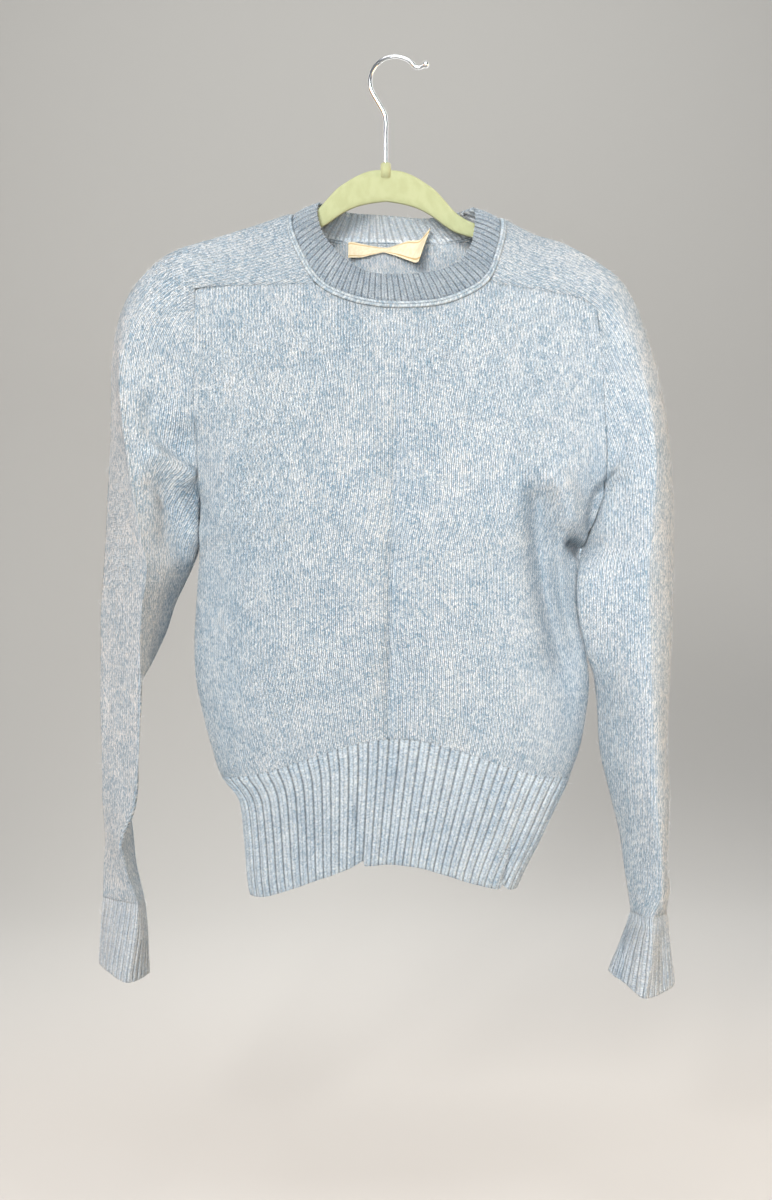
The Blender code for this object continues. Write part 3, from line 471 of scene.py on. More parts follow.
# x and z along each panel's top edge, from strap seam over the neckline to strap seam
topEdge = {
    "front": (
        (-174, -155, -85, -69, -57, -45, -20, 4, 35, 53, 72, 85, 95, 117, 150, 166, 178),
        (
            -213, -211, -210, -210, -217, -223, -229.5, -231, -229.5,
            -225, -216, -207, -210, -213, -218, -223, -232,
        ),
    ),
    "back": (
        (-174, -140, -105, -80, -62, -40, 4, 40, 66, 85, 115, 150, 178),
        (-213, -197, -180, -167, -158, -160, -161.5, -160, -158, -168, -184, -208, -232),
    ),
}
neckCorner = {"front": (-69.0, 85.0), "back": (-62.0, 66.0)}
# soft troughs: x at the top and bottom, depth, width, top and bottom z
troughs = {
    "front": (
        (4, -3, 3.5, 11, -290, -625), (122, 158, 6.5, 13, -365, -600),
        (-152, -146, 2.5, 14, -400, -600),
    ),
    "back": (
        (-12, 6, 3.5, 14, -260, -620), (-138, -128, 4.5, 14, -330, -580),
        (140, 150, 3.5, 13, -380, -600),
    ),
}


def armholeOpen(row):
    # how far each panel's edge stands off the middle along the armhole, nothing at the armpit
    row = min(max(row, 0.0), 1.0)
    return (27 + 8 * row) * (1 - row**4) ** 0.75


def troughDepth(face, x, z):
    depth = 0.0
    for xTop, xBottom, deep, width, zTop, zBottom in troughs[face]:
        share = (z - zTop) / (zBottom - zTop)
        if 0 < share < 1:
            fade = ease(4 * share) * ease(4 * (1 - share))
            depth += deep * bump(x - mix(xTop, xBottom, share), width) * fade
    return depth


def arch(s, power):
    return max(math.cos(math.pi * (s - 0.5)), 0.0) ** power


def ribX(s, row, leftZ, rightZ):
    # straight ribs, but for the few that bend by the side seams
    ends = []
    for column, z, hem in (("left", leftZ, hemZ["left"]), ("right", rightZ, hemZ["right"])):
        top, low, here = (smooth(bodyKnots, body[column], -at) for at in (ribTopZ, hem, z))
        straightX = mix(top, low, row - 2)
        ends.append((straightX, here - straightX))
    return mix(ends[0][0], ends[1][0], s) + ends[0][1] * (1 - s) ** 5 + ends[1][1] * s**5


def bodyPoint(face, s, row):
    # row is 0 along the top edge, 1 at the armpits, 2 at the top of the waist rib and 3 at the hem
    edgeX, edgeZ = topEdge[face]
    if row <= 1:
        leftZ, rightZ = mix(edgeZ[0], armpitZ, row), mix(edgeZ[-1], armpitZ, row)
        z = mix(straight(edgeX, edgeZ, mix(edgeX[0], edgeX[-1], s)), armpitZ, row)
        depthZ = z
    elif row <= 2:
        leftZ = rightZ = depthZ = mix(armpitZ, ribTopZ, row - 1)
        z = leftZ + ribArch["top"] * arch(s, 2.0) * (row - 1) ** 1.5
    else:
        leftZ, rightZ = mix(ribTopZ, hemZ["left"], row - 2), mix(ribTopZ, hemZ["right"], row - 2)
        depthZ = leftZ
        height = mix(ribArch["top"], ribArch["hem"], row - 2)
        z = mix(leftZ, rightZ, s) + height * arch(s, mix(2.0, 1.7, row - 2))
    if row > 2:
        x = ribX(s, row, leftZ, rightZ)
    else:
        x = mix(smooth(bodyKnots, body["left"], -leftZ), smooth(bodyKnots, body["right"], -rightZ), s)
    side = armholeOpen(row)
    bow = max(1 - abs(2 * s - 1) ** 2.6, 0.0)
    flatness = mix(1.2, 2.6, ease((row - 0.2) / 0.9))
    y = side + (smooth(bodyKnots, body[face], -depthZ) - side) * bow ** (1 / flatness)
    y -= troughDepth(face, x, z)
    return Vector((x, -y if face == "front" else y, z))


# the sleeves' surface, as in the CAD

# e, x, z of the line where each strap lies over the hanger's arm
strapRidge = {
    "left": ((0, -93.5, -140.7), (0.33, -124, -151.2), (0.66, -160, -161.5)),
    "right": ((0, 101, -144.5), (0.33, 128, -158.5), (0.66, 159, -169.3)),
}
# e, the front fold's x, y, z, and the outline's x, z
sleeveHead = {
    "left": (
        (1.00, -193, -22, -198, -205, -178.5), (1.10, -217, -26, -223, -229, -201),
        (1.22, -232, -29, -251, -245, -231), (1.36, -238, -32, -286, -252, -269),
        (1.52, -236, -38, -327, -253, -318), (1.70, -229, -46, -370, -255, -366),
        (1.86, -222, -52, -407, -257, -406), (2.00, -216, -55, -440, -259, -440),
    ),
    "right": (
        (1.00, 191, -22, -214, 202, -196), (1.10, 203, -27, -238, 217, -217),
        (1.22, 213, -32, -264, 228, -246), (1.36, 221, -37, -296, 238, -280),
        (1.52, 227, -43, -333, 246, -318), (1.70, 229, -49, -374, 251, -362),
        (1.86, 226, -53, -409, 253, -405), (2.00, 223, -54, -440, 253, -440),
    ),
}
# below the armpit: z, then x and y of the inner side and of the front, outer and back folds
sleeveTube = {
    "left": (
        (-455, -178, 0, -212, -56, -260, 0, -222, 50), (-474, -187, 2, -213, -56, -261, 0, -226, 50),
        (-491, -195, 2, -216, -55, -262, 0, -230, 50), (-516, -203, 2, -218, -54, -262, -2, -236, 50),
        (-542, -215, 2, -218, -53, -262, -3, -240, 50), (-570, -229, 2, -218, -51, -262, -4, -246, 49),
        (-620, -234, 2, -220, -48, -261, -4, -248, 46), (-667, -236, 2, -224, -45, -260, -4, -249, 43),
        (-700, -233, 2, -236, -42, -258, -4, -242, 40), (-725, -230, 0, -232, -38, -259, -4, -243, 36),
        (-755, -223, 0, -223, -33, -260, -2, -243, 34),
    ),
    "right": (
        (-450, 172, -8, 222, -53, 253, 0, 215, 52), (-470, 168, -19, 222, -52, 253, 0, 208, 52),
        (-500, 169, -20, 223, -51, 252, 0, 206, 52), (-540, 178, -10, 224, -50, 250, 0, 208, 50),
        (-580, 185, 4, 226, -47, 248, 0, 210, 48), (-625, 189, 12, 228, -43, 248, 2, 213, 46),
        (-667, 199, 12, 231, -39, 250, 4, 218, 44), (-700, 207, 12, 234, -36, 249, 4, 223, 41),
        (-725, 210, 9, 236, -33, 248, 4, 226, 37), (-748, 213, 6, 236, -31, 251, 4, 229, 34),
        (-768, 215, 2, 230, -28, 248, 2, 234, 31),
    ),
}
# the cuff's edge: inner, front, outer, back
cuffEdge = {
    "left": ((-218, 0, -823), (-234, -33, -824), (-263.5, -2, -814), (-245, 33, -822)),
    "right": ((194, -4, -820), (223, -31, -838), (255, 3, -834), (226, 32, -828)),
}


def sideSeam(side, face, e):
    # between a sleeve and the body: along the strap from the neck, e 0 to 1, then down the armhole
    edgeX = topEdge[face][0]
    if e > 1:
        return bodyPoint(face, 0.0 if side == "left" else 1.0, e - 1)
    neckX = neckCorner[face][0 if side == "left" else 1]
    corner = edgeX[0] if side == "left" else edgeX[-1]
    return bodyPoint(face, (mix(neckX, corner, e) - edgeX[0]) / (edgeX[-1] - edgeX[0]), 0.0)


def sleeveLines(side):
    knots, front, outer, back = [], [], [], []
    for e, x, z in strapRidge[side]:
        top = Vector((x, 0, z))
        knots.append(e)
        outer.append(top)
        bow = (-6.0 if side == "left" else 3.5) * (1 - ease(e / 0.5))
        front.append(top.lerp(sideSeam(side, "front", e), 0.42) + Vector((bow, -5, 0)))
        back.append(top.lerp(sideSeam(side, "back", e), 0.42) + Vector((0, 5, 0)))
    for e, x, y, z, outX, outZ in sleeveHead[side]:
        knots.append(e)
        front.append(Vector((x, y, z)))
        outer.append(Vector((outX, 0, outZ)))
        back.append(Vector((x, -0.9 * y, z)))
    innerKnots, inner = [2.0], [sideSeam(side, "front", 2.0)]
    lastZ = sleeveTube[side][-1][0]
    for z, ix, iy, fx, fy, ox, oy, bx, by in sleeveTube[side]:
        e = 2 + (armpitZ - z) / (armpitZ - lastZ)
        knots.append(e)
        innerKnots.append(e)
        for line, x, y in ((inner, ix, iy), (front, fx, fy), (outer, ox, oy), (back, bx, by)):
            line.append(Vector((x, y, z)))
    for line, point in zip((inner, front, outer, back), cuffEdge[side]):
        line.append(Vector(point))
    knots.append(4.0)
    return (innerKnots + [4.0], inner), (knots, front), (knots, outer), (knots, back)


lines = {"left": sleeveLines("left"), "right": sleeveLines("right")}


def sleevePoint(side, u, e):
    # u runs from the front seam over the outside to the back seam; e is 0 at the neck, 1 at the
    # shoulder, 2 at the armpit, 3 at the cuff's seam and 4 at its edge
    innerLine, frontLine, outerLine, backLine = lines[side]
    front, outer, back = smooth(*frontLine, e), smooth(*outerLine, e), smooth(*backLine, e)
    if e < 2:
        start, end = sideSeam(side, "front", e), sideSeam(side, "back", e)
    else:
        start = end = smooth(*innerLine, e)
    closed = ease((e - 1.6) / 0.4)
    before, after = (2 * start - front).lerp(back, closed), (2 * end - back).lerp(front, closed)
    points = (before, start, front, outer, back, end, after)
    i = min(int(u * 4), 3)
    f = u * 4 - i
    a, b, c, d = points[i : i + 4]
    bend, twist = 2 * a - 5 * b + 4 * c - d, 3 * b - a - 3 * c + d
    curve = 0.5 * (2 * b + f * (c - a) + f * f * bend + f**3 * twist)
    # the left sleeve hangs folded along its front and outer edges
    crisp = 0.9 - 0.6 * ease((e - 2.9) / 0.5) if side == "left" else 0.3
    return curve.lerp(b.lerp(c, f), crisp * ease((e - 1.05) / 0.35))


# creases seen from the front: (depth, width, points x z); a negative depth is a ridge

frontCreases = (
    (1.8, 4.2, ((5, -310), (3, -400), (0, -500), (-2, -590), (-3, -645))),
    (2.2, 4.2, ((2, -440), (0, -500), (-2, -590), (-3, -645))),
    (3.6, 8.0, ((6, -535), (12, -585), (17, -622))),
    (-1.6, 1.6, ((31, -566), (31, -590), (31.5, -614))),
    (-1.2, 1.6, ((30, -615), (30.5, -617))),
    (2.2, 6, ((-168, -406), (-160, -420), (-154, -440))),
    (15.0, 12.0, ((130, -400), (130, -423), (131, -452), (136, -480), (147, -517), (154, -536))),
    (-5.0, 7, ((148, -450), (149, -480), (154, -512), (161, -540))),
    (0.9, 8, ((-120, -250), (-132, -300), (-142, -350))),
    (0.8, 10, ((60, -560), (66, -600), (64, -640))),
    (0.8, 11, ((-70, -540), (-76, -590), (-74, -636))),
)
sleeveCreases = {
    "left": (
        (-3.0, 2.8, (
            (-240, -270), (-239, -305), (-235, -340), (-228, -383), (-221, -423),
            (-215, -453), (-217, -479), (-218, -560), (-224, -640),
        )),
        (9.0, 15, ((-208, -322), (-201, -355), (-194, -390), (-192, -430))),
        (-14.0, 9, ((-206, -360), (-195, -368), (-183, -376))),
        (4.0, 7.0, ((-210, -388), (-198, -394), (-190, -404))),
        (1.2, 3.0, ((-217, -489), (-204, -490), (-192, -488))),
    ),
    "right": (
        (-2.0, 9, ((212, -372), (200, -396), (190, -420), (186, -450))),
        (1.6, 9, ((208, -300), (204, -330), (198, -352))),
        (-1.0, 8, ((206, -470), (204, -520), (208, -580))),
        (1.0, 6, ((218, -690), (214, -720), (212, -746))),
    ),
}
# folds that cross the armholes, so that the panel and the sleeve share them
armpitCreases = (
    (14.0, 16.0, ((-182, -348), (-177, -385), (-176, -408))),
    (6.0, 6.0, ((-177, -390), (-173, -400))),
    (8.0, 6.0, ((-175, -396), (-171, -414))),
    (-4.0, 9.0, ((-160, -408), (-158, -440))),
    (-14.0, 14.0, ((148, -388), (155, -400), (157, -415))),
    (-4.0, 6.0, ((206, -382), (192, -396), (188, -412), (184, -430))),
    (10.0, 4.0, ((199, -376), (186, -388), (179, -397), (176, -411), (174, -426))),
    (36.0, 5.2, ((160, -438), (164, -440), (167, -445))),
)


def creaseDepth(creases, p):
    depth = 0.0
    for deep, width, points in creases:
        nearest = 1e9
        for (ax, az), (bx, bz) in zip(points, points[1:]):
            dx, dz = bx - ax, bz - az
            f = min(max(((p.x - ax) * dx + (p.z - az) * dz) / (dx * dx + dz * dz), 0), 1)
            nearest = min(nearest, math.hypot(p.x - ax - f * dx, p.z - az - f * dz))
        if nearest < 3 * width:
            depth += deep * bump(nearest, width)
    return depth


def softness(p, seed, size=34.0, depth=0.9):
    # the gentle unevenness of hanging knitwear
    return depth * noise.noise(Vector((p.x / size + seed, p.y / size, p.z / (size * 1.9))))


# the front and back panels

panels = {
    "frontPanel": {"face": "front", "across": 170, "down": 190, "node": "front_panel", "seed": 3.0},
    "backPanel": {"face": "back", "across": 96, "down": 130, "node": "back_panel", "seed": 9.0},
}
panelWidth = 396.0  # mm of knitting from side to side
panelDown = 455.0
# depth and reach of the dip along each seam, in mm; the armhole's stands up
strapSeam = {"depth": 2.2, "reach": 2.6}
armholeSeam = {"depth": -2.6, "reach": 8.5}


def seamDip(seam, distance):
    return seam["depth"] * bump(distance, seam["reach"])


def panelPoint(spec, u, v):
    face = spec["face"]
    row = 2 * v
    s = u - 0.35 * ease(row) * math.sin(2 * math.pi * u) / (2 * math.pi)
    p = bodyPoint(face, s, row)
    fromSide = min(s, 1 - s) * panelWidth
    fromTop = row * 210 if s < 0.31 or s > 0.73 else 99  # the neckline has no strap seam
    inset = 0.0
    if row < 1.04:
        strap = ease((0.15 - row) / 0.15)
        fromNeck = max(neckCorner[face][0] - p.x, p.x - neckCorner[face][1])
        seam = seamDip(strapSeam, fromTop) * ease((fromNeck - 2) / 14)
        seam *= ease((1 - s) * panelWidth / 34) if face == "front" else 1.0
        inset = mix(seamDip(armholeSeam, fromSide), seam, strap)
    dip = inset + softness(p, spec["seed"]) * ease(fromSide / 20)
    if face == "front":
        dip += creaseDepth(frontCreases, p) * ease(fromSide / 8) + creaseDepth(armpitCreases, p)
    p.y -= facingOf(face).y * dip
    return p


pieces = {}
for name, spec in panels.items():
    piece = gridPiece(
        name, spec["across"], spec["down"],
        lambda u, v: panelPoint(spec, u, v),
        lambda u, v: ((u - 0.5) * panelWidth, 900 - panelDown * v),
        lambda p: facingOf(spec["face"]),
        woolMaterial,
        inside=woolInsidePaintedLightMaterial,
    )
    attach(piece, "root")
    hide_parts(spec["node"])
    pieces[name] = piece
print("panels built")

# sleeves with their saddle straps

sleeves = {
    "sleeveLeft": {"side": "left", "node": "sleeve_left", "middleX": -232.0, "seed": 21.0},
    "sleeveRight": {"side": "right", "node": "sleeve_right", "middleX": 224.0, "seed": 33.0},
}
sleeveMesh = {"around": 96, "along": 230}
strapAround, sleeveAround = 105, 200  # mm of knitting from seam to seam


def sleeveMiddle(spec, z):
    # the middle of the sleeve at a height z in metres, which bends in over the strap
    down = -z * 1000
    x = mix(-0.5, spec["middleX"], ease((down - 150) / 120))
    return Vector((x * 0.001, 0, z - 0.02 * ease(1 - (down - 170) / 60)))


def sleeveSkin(spec, u, e):
    side = spec["side"]
    p = sleevePoint(side, u, e)
    edge = min(u, 1 - u)
    away = ease(edge * 22)
    dip = softness(p, spec["seed"]) * ease(edge * 8) * ease((3.0 - e) / 0.15)
    if p.y < -6:
        dip += creaseDepth(sleeveCreases[side], p) * ease((-p.y - 6) / 12) * away
    if e < 2.04:
        fromSeam = edge * mix(strapAround, sleeveAround, ease(e - 0.6))
        strap = ease((1.1 - e) / 0.2)
        seam = seamDip(strapSeam, fromSeam) * ease((e - 0.02) / 0.14)
        inset = mix(seamDip(armholeSeam, fromSeam), seam, strap)
        # the strap's wales lie side by side along its seams, 4.4 mm apart
        wales = 1 - math.cos(2 * math.pi * fromSeam / 4.4)
        inset -= 0.5 * strap * wales * ease((26 - fromSeam) / 10)
        p.y += inset * (1 if u < 0.5 else -1)
    if u < 0.5 and e < 2.1:
        p.y += creaseDepth(armpitCreases, p) * ease((2.1 - e) / 0.08)
    if side == "right" and -560 < p.z < -440:
        # the sleeve lies against the body's side below the armpit
        p.x -= 4.2 * ease((-p.z - 440) / 16) * ease((p.z + 560) / 30) * ease(1 - edge * 7)
    centre = Vector((p.x, 0, p.z - 60))
    if e > 1.3:
        centre = Vector((math.copysign(232.0, spec["middleX"]), 0, p.z))
    return p + (centre - p).normalized() * dip


def gathered(side, u, e):
    # the columns of the left sleeve's mesh gather along its folds
    if side == "right":
        return u
    share = 0.55 * ease((e - 1.1) / 0.3) * ease((2.95 - e) / 0.2)
    return u + share * math.sin(4 * math.pi * u) / (4 * math.pi)


def sleeveAlong(e):
    # mm of knitting from the neck
    return straight((0, 1, 2, 3, 4), (0, 118, 350, 668, 740), e)


for name, spec in sleeves.items():
    side = spec["side"]
    widths = {}

    def stitchesOn(u, v):
        # wales run down the sleeve and are counted from its middle
        e = 3 * v
        key = round(e, 4)
        if key not in widths:
            steps = lengthsAlong([sleevePoint(side, i / 24, e) for i in range(25)])
            widths[key] = [step - steps[12] for step in steps]
        across = straight([i / 24 for i in range(25)], widths[key], gathered(side, u, e))
        return across, 1900 - sleeveAlong(e)

    piece = gridPiece(
        name, sleeveMesh["around"], sleeveMesh["along"],
        lambda u, v: sleeveSkin(spec, gathered(side, u, 3 * v), 3 * v),
        stitchesOn,
        lambda p: p - sleeveMiddle(spec, p.z),
        woolMaterial,
    )
    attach(piece, "root")
    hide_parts(spec["node"])
    pieces[name] = piece
print("sleeves built")

# ribs: c counts them, each a raised wale between two sunk ones

ribRise = 1.1  # mm
ribSink = 1.0


def ribHeight(c, envelope):
    ridge = abs(math.sin(math.pi * c)) ** 0.55
    return mix(-ribSink, ribRise, ridge) * envelope


def evenPoints(line, count):
    steps = lengthsAlong(line)
    return [straight(steps, line, steps[-1] * i / count) for i in range(count + 1)]


def ribEnvelope(v):
    # flat along the seam, full height below it, lower at the bound-off edge
    return ease(v / 0.09) * mix(1.0, 0.45, ease((v - 0.95) / 0.05))


# the waist ribs

waistRibs = {"ribs": 40, "columns": 320, "rows": 44, "deep": 102.0}
# step where the hem folds over itself, and the notch by the right end
hemCreases = (
    (3.4, 3.0, ((-32, -668), (-29, -696), (-25, -724))),
    (-2.2, 6.0, ((-20, -668), (-16, -700), (-12, -724))),
    (4.6, 2.6, ((106, -700), (102, -718), (98, -738))),
    (1.8, 5.0, ((1, -612), (2, -636), (3, -650))),
    (-1.2, 6.0, ((8, -625), (9, -660), (11, -716))),
    (2.0, 6.0, ((118, -660), (110, -690), (104, -708))),
    (1.5, 6.0, ((-122, -660), (-120, -700), (-118, -740))),
)


def evenShares(face):
    # the ribs are evenly spaced round the body, not across it
    fine = [i / 400 for i in range(401)]
    steps = lengthsAlong([bodyPoint(face, s, 2.5) for s in fine])
    count = waistRibs["columns"]
    return [straight(steps, fine, steps[-1] * i / count) for i in range(count + 1)]


for name, face, node, seed in (
    ("waistRibFront", "front", "waist_rib_front", 4.0),
    ("waistRibBack", "back", "waist_rib_back", 14.0),
):
    shares = evenShares(face)

    def ribbing(u, v):
        drift = 0.13 * noise.noise(Vector((u * 9 + seed, v * 1.5, seed)))
        c = u * waistRibs["ribs"] + drift * ease(v / 0.1) * ease(min(u, 1 - u) * 20)
        uneven = 1 + 0.6 * noise.noise(Vector((u * 40, v * 2.2, seed)))
        return ribHeight(c, ribEnvelope(v)) * uneven

    def waistPoint(u, v):
        s = shares[round(u * waistRibs["columns"])]
        p = bodyPoint(face, s, 2 + v)
        dip = softness(p, seed, 22.0, 1.1) * ease(min(u, 1 - u) * 16) * ease(v / 0.12)
        if face == "front":
            dip += creaseDepth(hemCreases, p) * ease(v / 0.1)
        p.y -= facingOf(face).y * dip
        p.z += 0.9 * noise.noise(Vector((u * 14, seed, 0))) * ease((v - 0.7) / 0.3)
        # the hem's steps: by the fold left of the middle, and the notch by the right end
        if face == "front" and p.x < -24:
            p.z += 4.5 * bump(p.x + 24, 9) * ease((v - 0.8) / 0.2)
        if face == "front":
            p.z += 5.0 * bump(p.x - 98, 2.6) * ease((v - 0.86) / 0.14)
        return p

    piece = gridPiece(
        name, waistRibs["columns"], waistRibs["rows"],
        waistPoint,
        lambda u, v: (u * waistRibs["ribs"] * stitchWidth, 300 - waistRibs["deep"] * v),
        lambda p: facingOf(face),
        ribMaterial,
        relief=ribbing,
    )
    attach(piece, "root")
    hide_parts(node)
    pieces[name] = piece
print("waist ribs built")

# the cuffs

cuffs = {"ribs": 27, "columns": 216, "rows": 34, "deep": 72.0}
# the right cuff is folded over itself in front
cuffCreases = (
    (-6.0, 4.5, ((216, -766), (228, -786), (227, -809), (218, -836))),
    (11.0, 7.5, ((208, -782), (211, -800), (206, -828))),
    (4.0, 5.0, ((240, -788), (241, -830))),
)
for name, side, node, middleX, seed in (
    ("cuffLeft", "left", "cuff_left", -0.244, 2.0),
    ("cuffRight", "right", "cuff_right", 0.222, 8.0),
):
    rowsOfPoints = {}

    def cuffPoint(u, v):
        key = round(v, 4)
        if key not in rowsOfPoints:
            ringPoints = [sleevePoint(side, i / 64, 3 + v) for i in range(65)]
            rowsOfPoints[key] = evenPoints(ringPoints, cuffs["columns"])
        p = rowsOfPoints[key][round(u * cuffs["columns"])].copy()
        if side == "right" and p.y < 0:
            p.y += creaseDepth(cuffCreases, p) * ease(-p.y / 12) * ease(v / 0.12)
        p.z += 0.7 * ringNoise(u, 2, seed) * ease((v - 0.7) / 0.3)
        return p

    def cuffRibbing(u, v):
        drift = 0.13 * ringNoise(u, 3, v * 2 + seed)
        return 0.62 * ribHeight(u * cuffs["ribs"] + drift * ease(v / 0.1), ribEnvelope(v))

    piece = gridPiece(
        name, cuffs["columns"], cuffs["rows"],
        cuffPoint,
        lambda u, v: (u * cuffs["ribs"] * stitchWidth, 600 - cuffs["deep"] * v),
        lambda p: p - Vector((middleX, 0, p.z)),
        cuffMaterial,
        relief=cuffRibbing,
        ring=True,
    )
    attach(piece, "root")
    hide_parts(node)
    pieces[name] = piece
print("cuffs built")

# the neckband: rib up to its free edge, and a linking roll over its base

# x, y, z of the free edge, a quarter at a time
neckband = {
    "frontLeft": (
        (4, -30, -201), (-14, -29.5, -200), (-27, -28, -196), (-39, -25, -188),
        (-51, -20, -176), (-62, -14, -160), (-67, -9, -141), (-66, 0, -129.5),
    ),
    "backLeft": ((-66, 0, -129.5), (-59, 13, -129.5), (-40, 22, -133), (-4, 25, -135)),
    "backRight": ((-4, 25, -135), (30, 24, -138), (57, 18, -135), (74, 0, -134)),
    "frontRight": (
        (74, 0, -134), (74.5, -9, -147), (72.5, -13, -162), (69, -17, -174),
        (60, -23, -187), (44, -27.5, -196), (24, -29.5, -200), (4, -30, -201),
    ),
}
bandCounts = (52, 28, 28, 52)  # half ribs in each quarter
bandFine = 4  # columns to half a rib
bandRows = 30
roll = {"rise": 1.7, "out": 0.5, "radius": 3.1, "length": 470.0, "around": 12}


def neckInward(point):
    # the way from a point of the band to the middle of the neck
    drop = math.sqrt(max(36.0 * 36.0 - point.y * point.y, 0.0))
    return Vector((0, -point.y, -drop)).normalized()


def neckLine(where):
    if where in lines:
        return [sleevePoint(where, j / 32, 0.0) for j in range(33)]
    edgeX = topEdge[where][0]
    left, right = neckCorner[where]
    xs = [mix(left, right, j / 40) for j in range(41)]
    return [bodyPoint(where, (x - edgeX[0]) / (edgeX[-1] - edgeX[0]), 0.0) for x in xs]


def neckRing():
    # the four quarters of the neck's seam, each from the middle of a panel to the middle of a strap
    front, back, left, right = (neckLine(where) for where in ("front", "back", "left", "right"))
    return (
        front[:21][::-1] + left[1:17],
        left[16:] + back[1:21],
        back[20:] + right[::-1][1:17],
        right[:17][::-1] + front[::-1][1:21],
    )


bandBase, bandEdge = [], []
for count, seam, free in zip(bandCounts, neckRing(), neckband.values()):
    free = [Vector(point) for point in free]
    knots = [i / (len(free) - 1) for i in range(len(free))]
    bandBase += evenPoints(seam, count * bandFine)[:-1]
    bandEdge += evenPoints([smooth(knots, free, i / 60) for i in range(61)], count * bandFine)[:-1]
bandColumns = len(bandBase)
# the base runs round its corners in an easy curve
corners = bandBase
bandBase = []
for j in range(bandColumns):
    bandBase.append(sum((corners[(j + k) % bandColumns] for k in range(-20, 21)), Vector()) / 41)
bandUps = [(b - a).normalized() for a, b in zip(bandBase, bandEdge)]
bandOuts = []
for j in range(bandColumns):
    along = bandBase[(j + 3) % bandColumns] - bandBase[j - 3]
    out = along.cross(bandUps[j]).normalized()
    bandOuts.append(out if out.dot(-neckInward(bandBase[j])) > 0 else -out)


def bandPoint(u, v):
    j = round(u * bandColumns) % bandColumns
    swell = 1.5 * math.sin(math.pi * min(v * 1.1, 1.0)) ** 0.8
    p = bandBase[j].lerp(bandEdge[j], v) + bandOuts[j] * swell
    c = j / (2 * bandFine)
    drift = 0.08 * ringNoise(u, 5, v)
    # flat under the roll, ribbed above it
    up = ease((v - 0.12) / 0.1)
    envelope = up * mix(1.0, 0.5, ease((v - 0.93) / 0.07))
    return p + bandOuts[j] * (ribHeight(c + drift, envelope) - 0.8 * (1 - up))


def rollMiddle(j):
    return bandBase[j] + bandUps[j] * roll["rise"] + bandOuts[j] * roll["out"]


def rollPoint(u, v):
    j = round(u * bandColumns) % bandColumns
    angle = 2 * math.pi * v
    radius = roll["radius"] * (1 + 0.07 * ringNoise(u, 9, 2.0))
    return rollMiddle(j) + (bandOuts[j] * math.cos(angle) + bandUps[j] * math.sin(angle)) * radius


def bandStitches(u, v):
    c = u * bandColumns / (2 * bandFine)
    return c * stitchWidth, 100 + 30 * v


piece = gridPiece(
    "neckBand", bandColumns, bandRows,
    bandPoint,
    bandStitches,
    lambda p: p - Vector((0, 0, -0.185 if p.y < 0 else -0.2)) - Vector((p.x * 0.6, 0, 0)),
    neckRibPaintedShadeMaterial,
    ring=True,
    inside=ribInsidePaintedLightMaterial,
)
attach(piece, "root")
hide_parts("neckband")
pieces["neckband"] = piece
middles = [toRow(rollMiddle(j)) for j in range(bandColumns)]
linkingRoll = gridPiece(
    "linkingRoll", bandColumns, roll["around"],
    rollPoint,
    lambda u, v: (v * 6.0 + 1.5, u * roll["length"]),
    lambda p: p - min(middles, key=lambda middle: (middle - p).length_squared),
    cordMaterial,
    ring=True,
    thickness=0,
)
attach(linkingRoll, "root")
print("neckband built")

# the woven label inside the back neck, crumpled; share runs along it from left to right

label = {
    "share": (0, 0.04, 0.2, 0.48, 0.62, 0.74, 0.88, 0.95, 1.0),
    "topZ": (-159.0, -158.2, -160.5, -163.5, -160.0, -157.5, -156.5, -151.0, -147.0),
    "bottomZ": (-174.5, -174.0, -173.0, -168.5, -170.5, -173.5, -178.0, -180.5, -180.0),
    "topY": (27.0, 27.8, 28.3, 28.5, 28.3, 27.6, 26.0, 24.0, 21.0),
    "bottomY": (21.5, 23.0, 25.0, 26.5, 24.5, 22.0, 18.0, 14.0, 12.0),
    "columns": 72,
    "rows": 18,
    "thickness": 0.0006,
    "stitched": (73, 12),  # mm of ribbon that show
}


def labelPoint(u, v):
    x = mix(-40, mix(35, 24, v), u)
    keys = ("topZ", "bottomZ", "topY", "bottomY")
    topZ, bottomZ, topY, bottomY = (smooth(label["share"], label[key], u) for key in keys)
    ripple = 0.5 * math.sin(u * 13.0 + v * 1.5) * v + 1.1 * noise.noise(Vector((u * 9, v * 2.4, 5)))
    return Vector((x, mix(topY, bottomY, v**1.4) - ripple, mix(topZ, bottomZ, v)))


# woven satin ribbon: smooth warm cream with a soft sheen, and a tan line along each edge; its
# threads are drawn 0.45 mm apart, coarser than woven, so that they show
labelMaterial, tree, shader = newMaterial("creamSatinRibbon", 0.5, 0.4)
uv = addNode(tree, "ShaderNodeUVMap", uv_map="stitches").outputs["UV"]
split = addNode(tree, "ShaderNodeSeparateXYZ", {"Vector": uv})
picks = maths(tree, "SINE", maths(tree, "MULTIPLY", split.outputs["Y"], 14.0))
ends = maths(tree, "SINE", maths(tree, "MULTIPLY", split.outputs["X"], 14.0))
weave = maths(tree, "MULTIPLY", picks, ends)
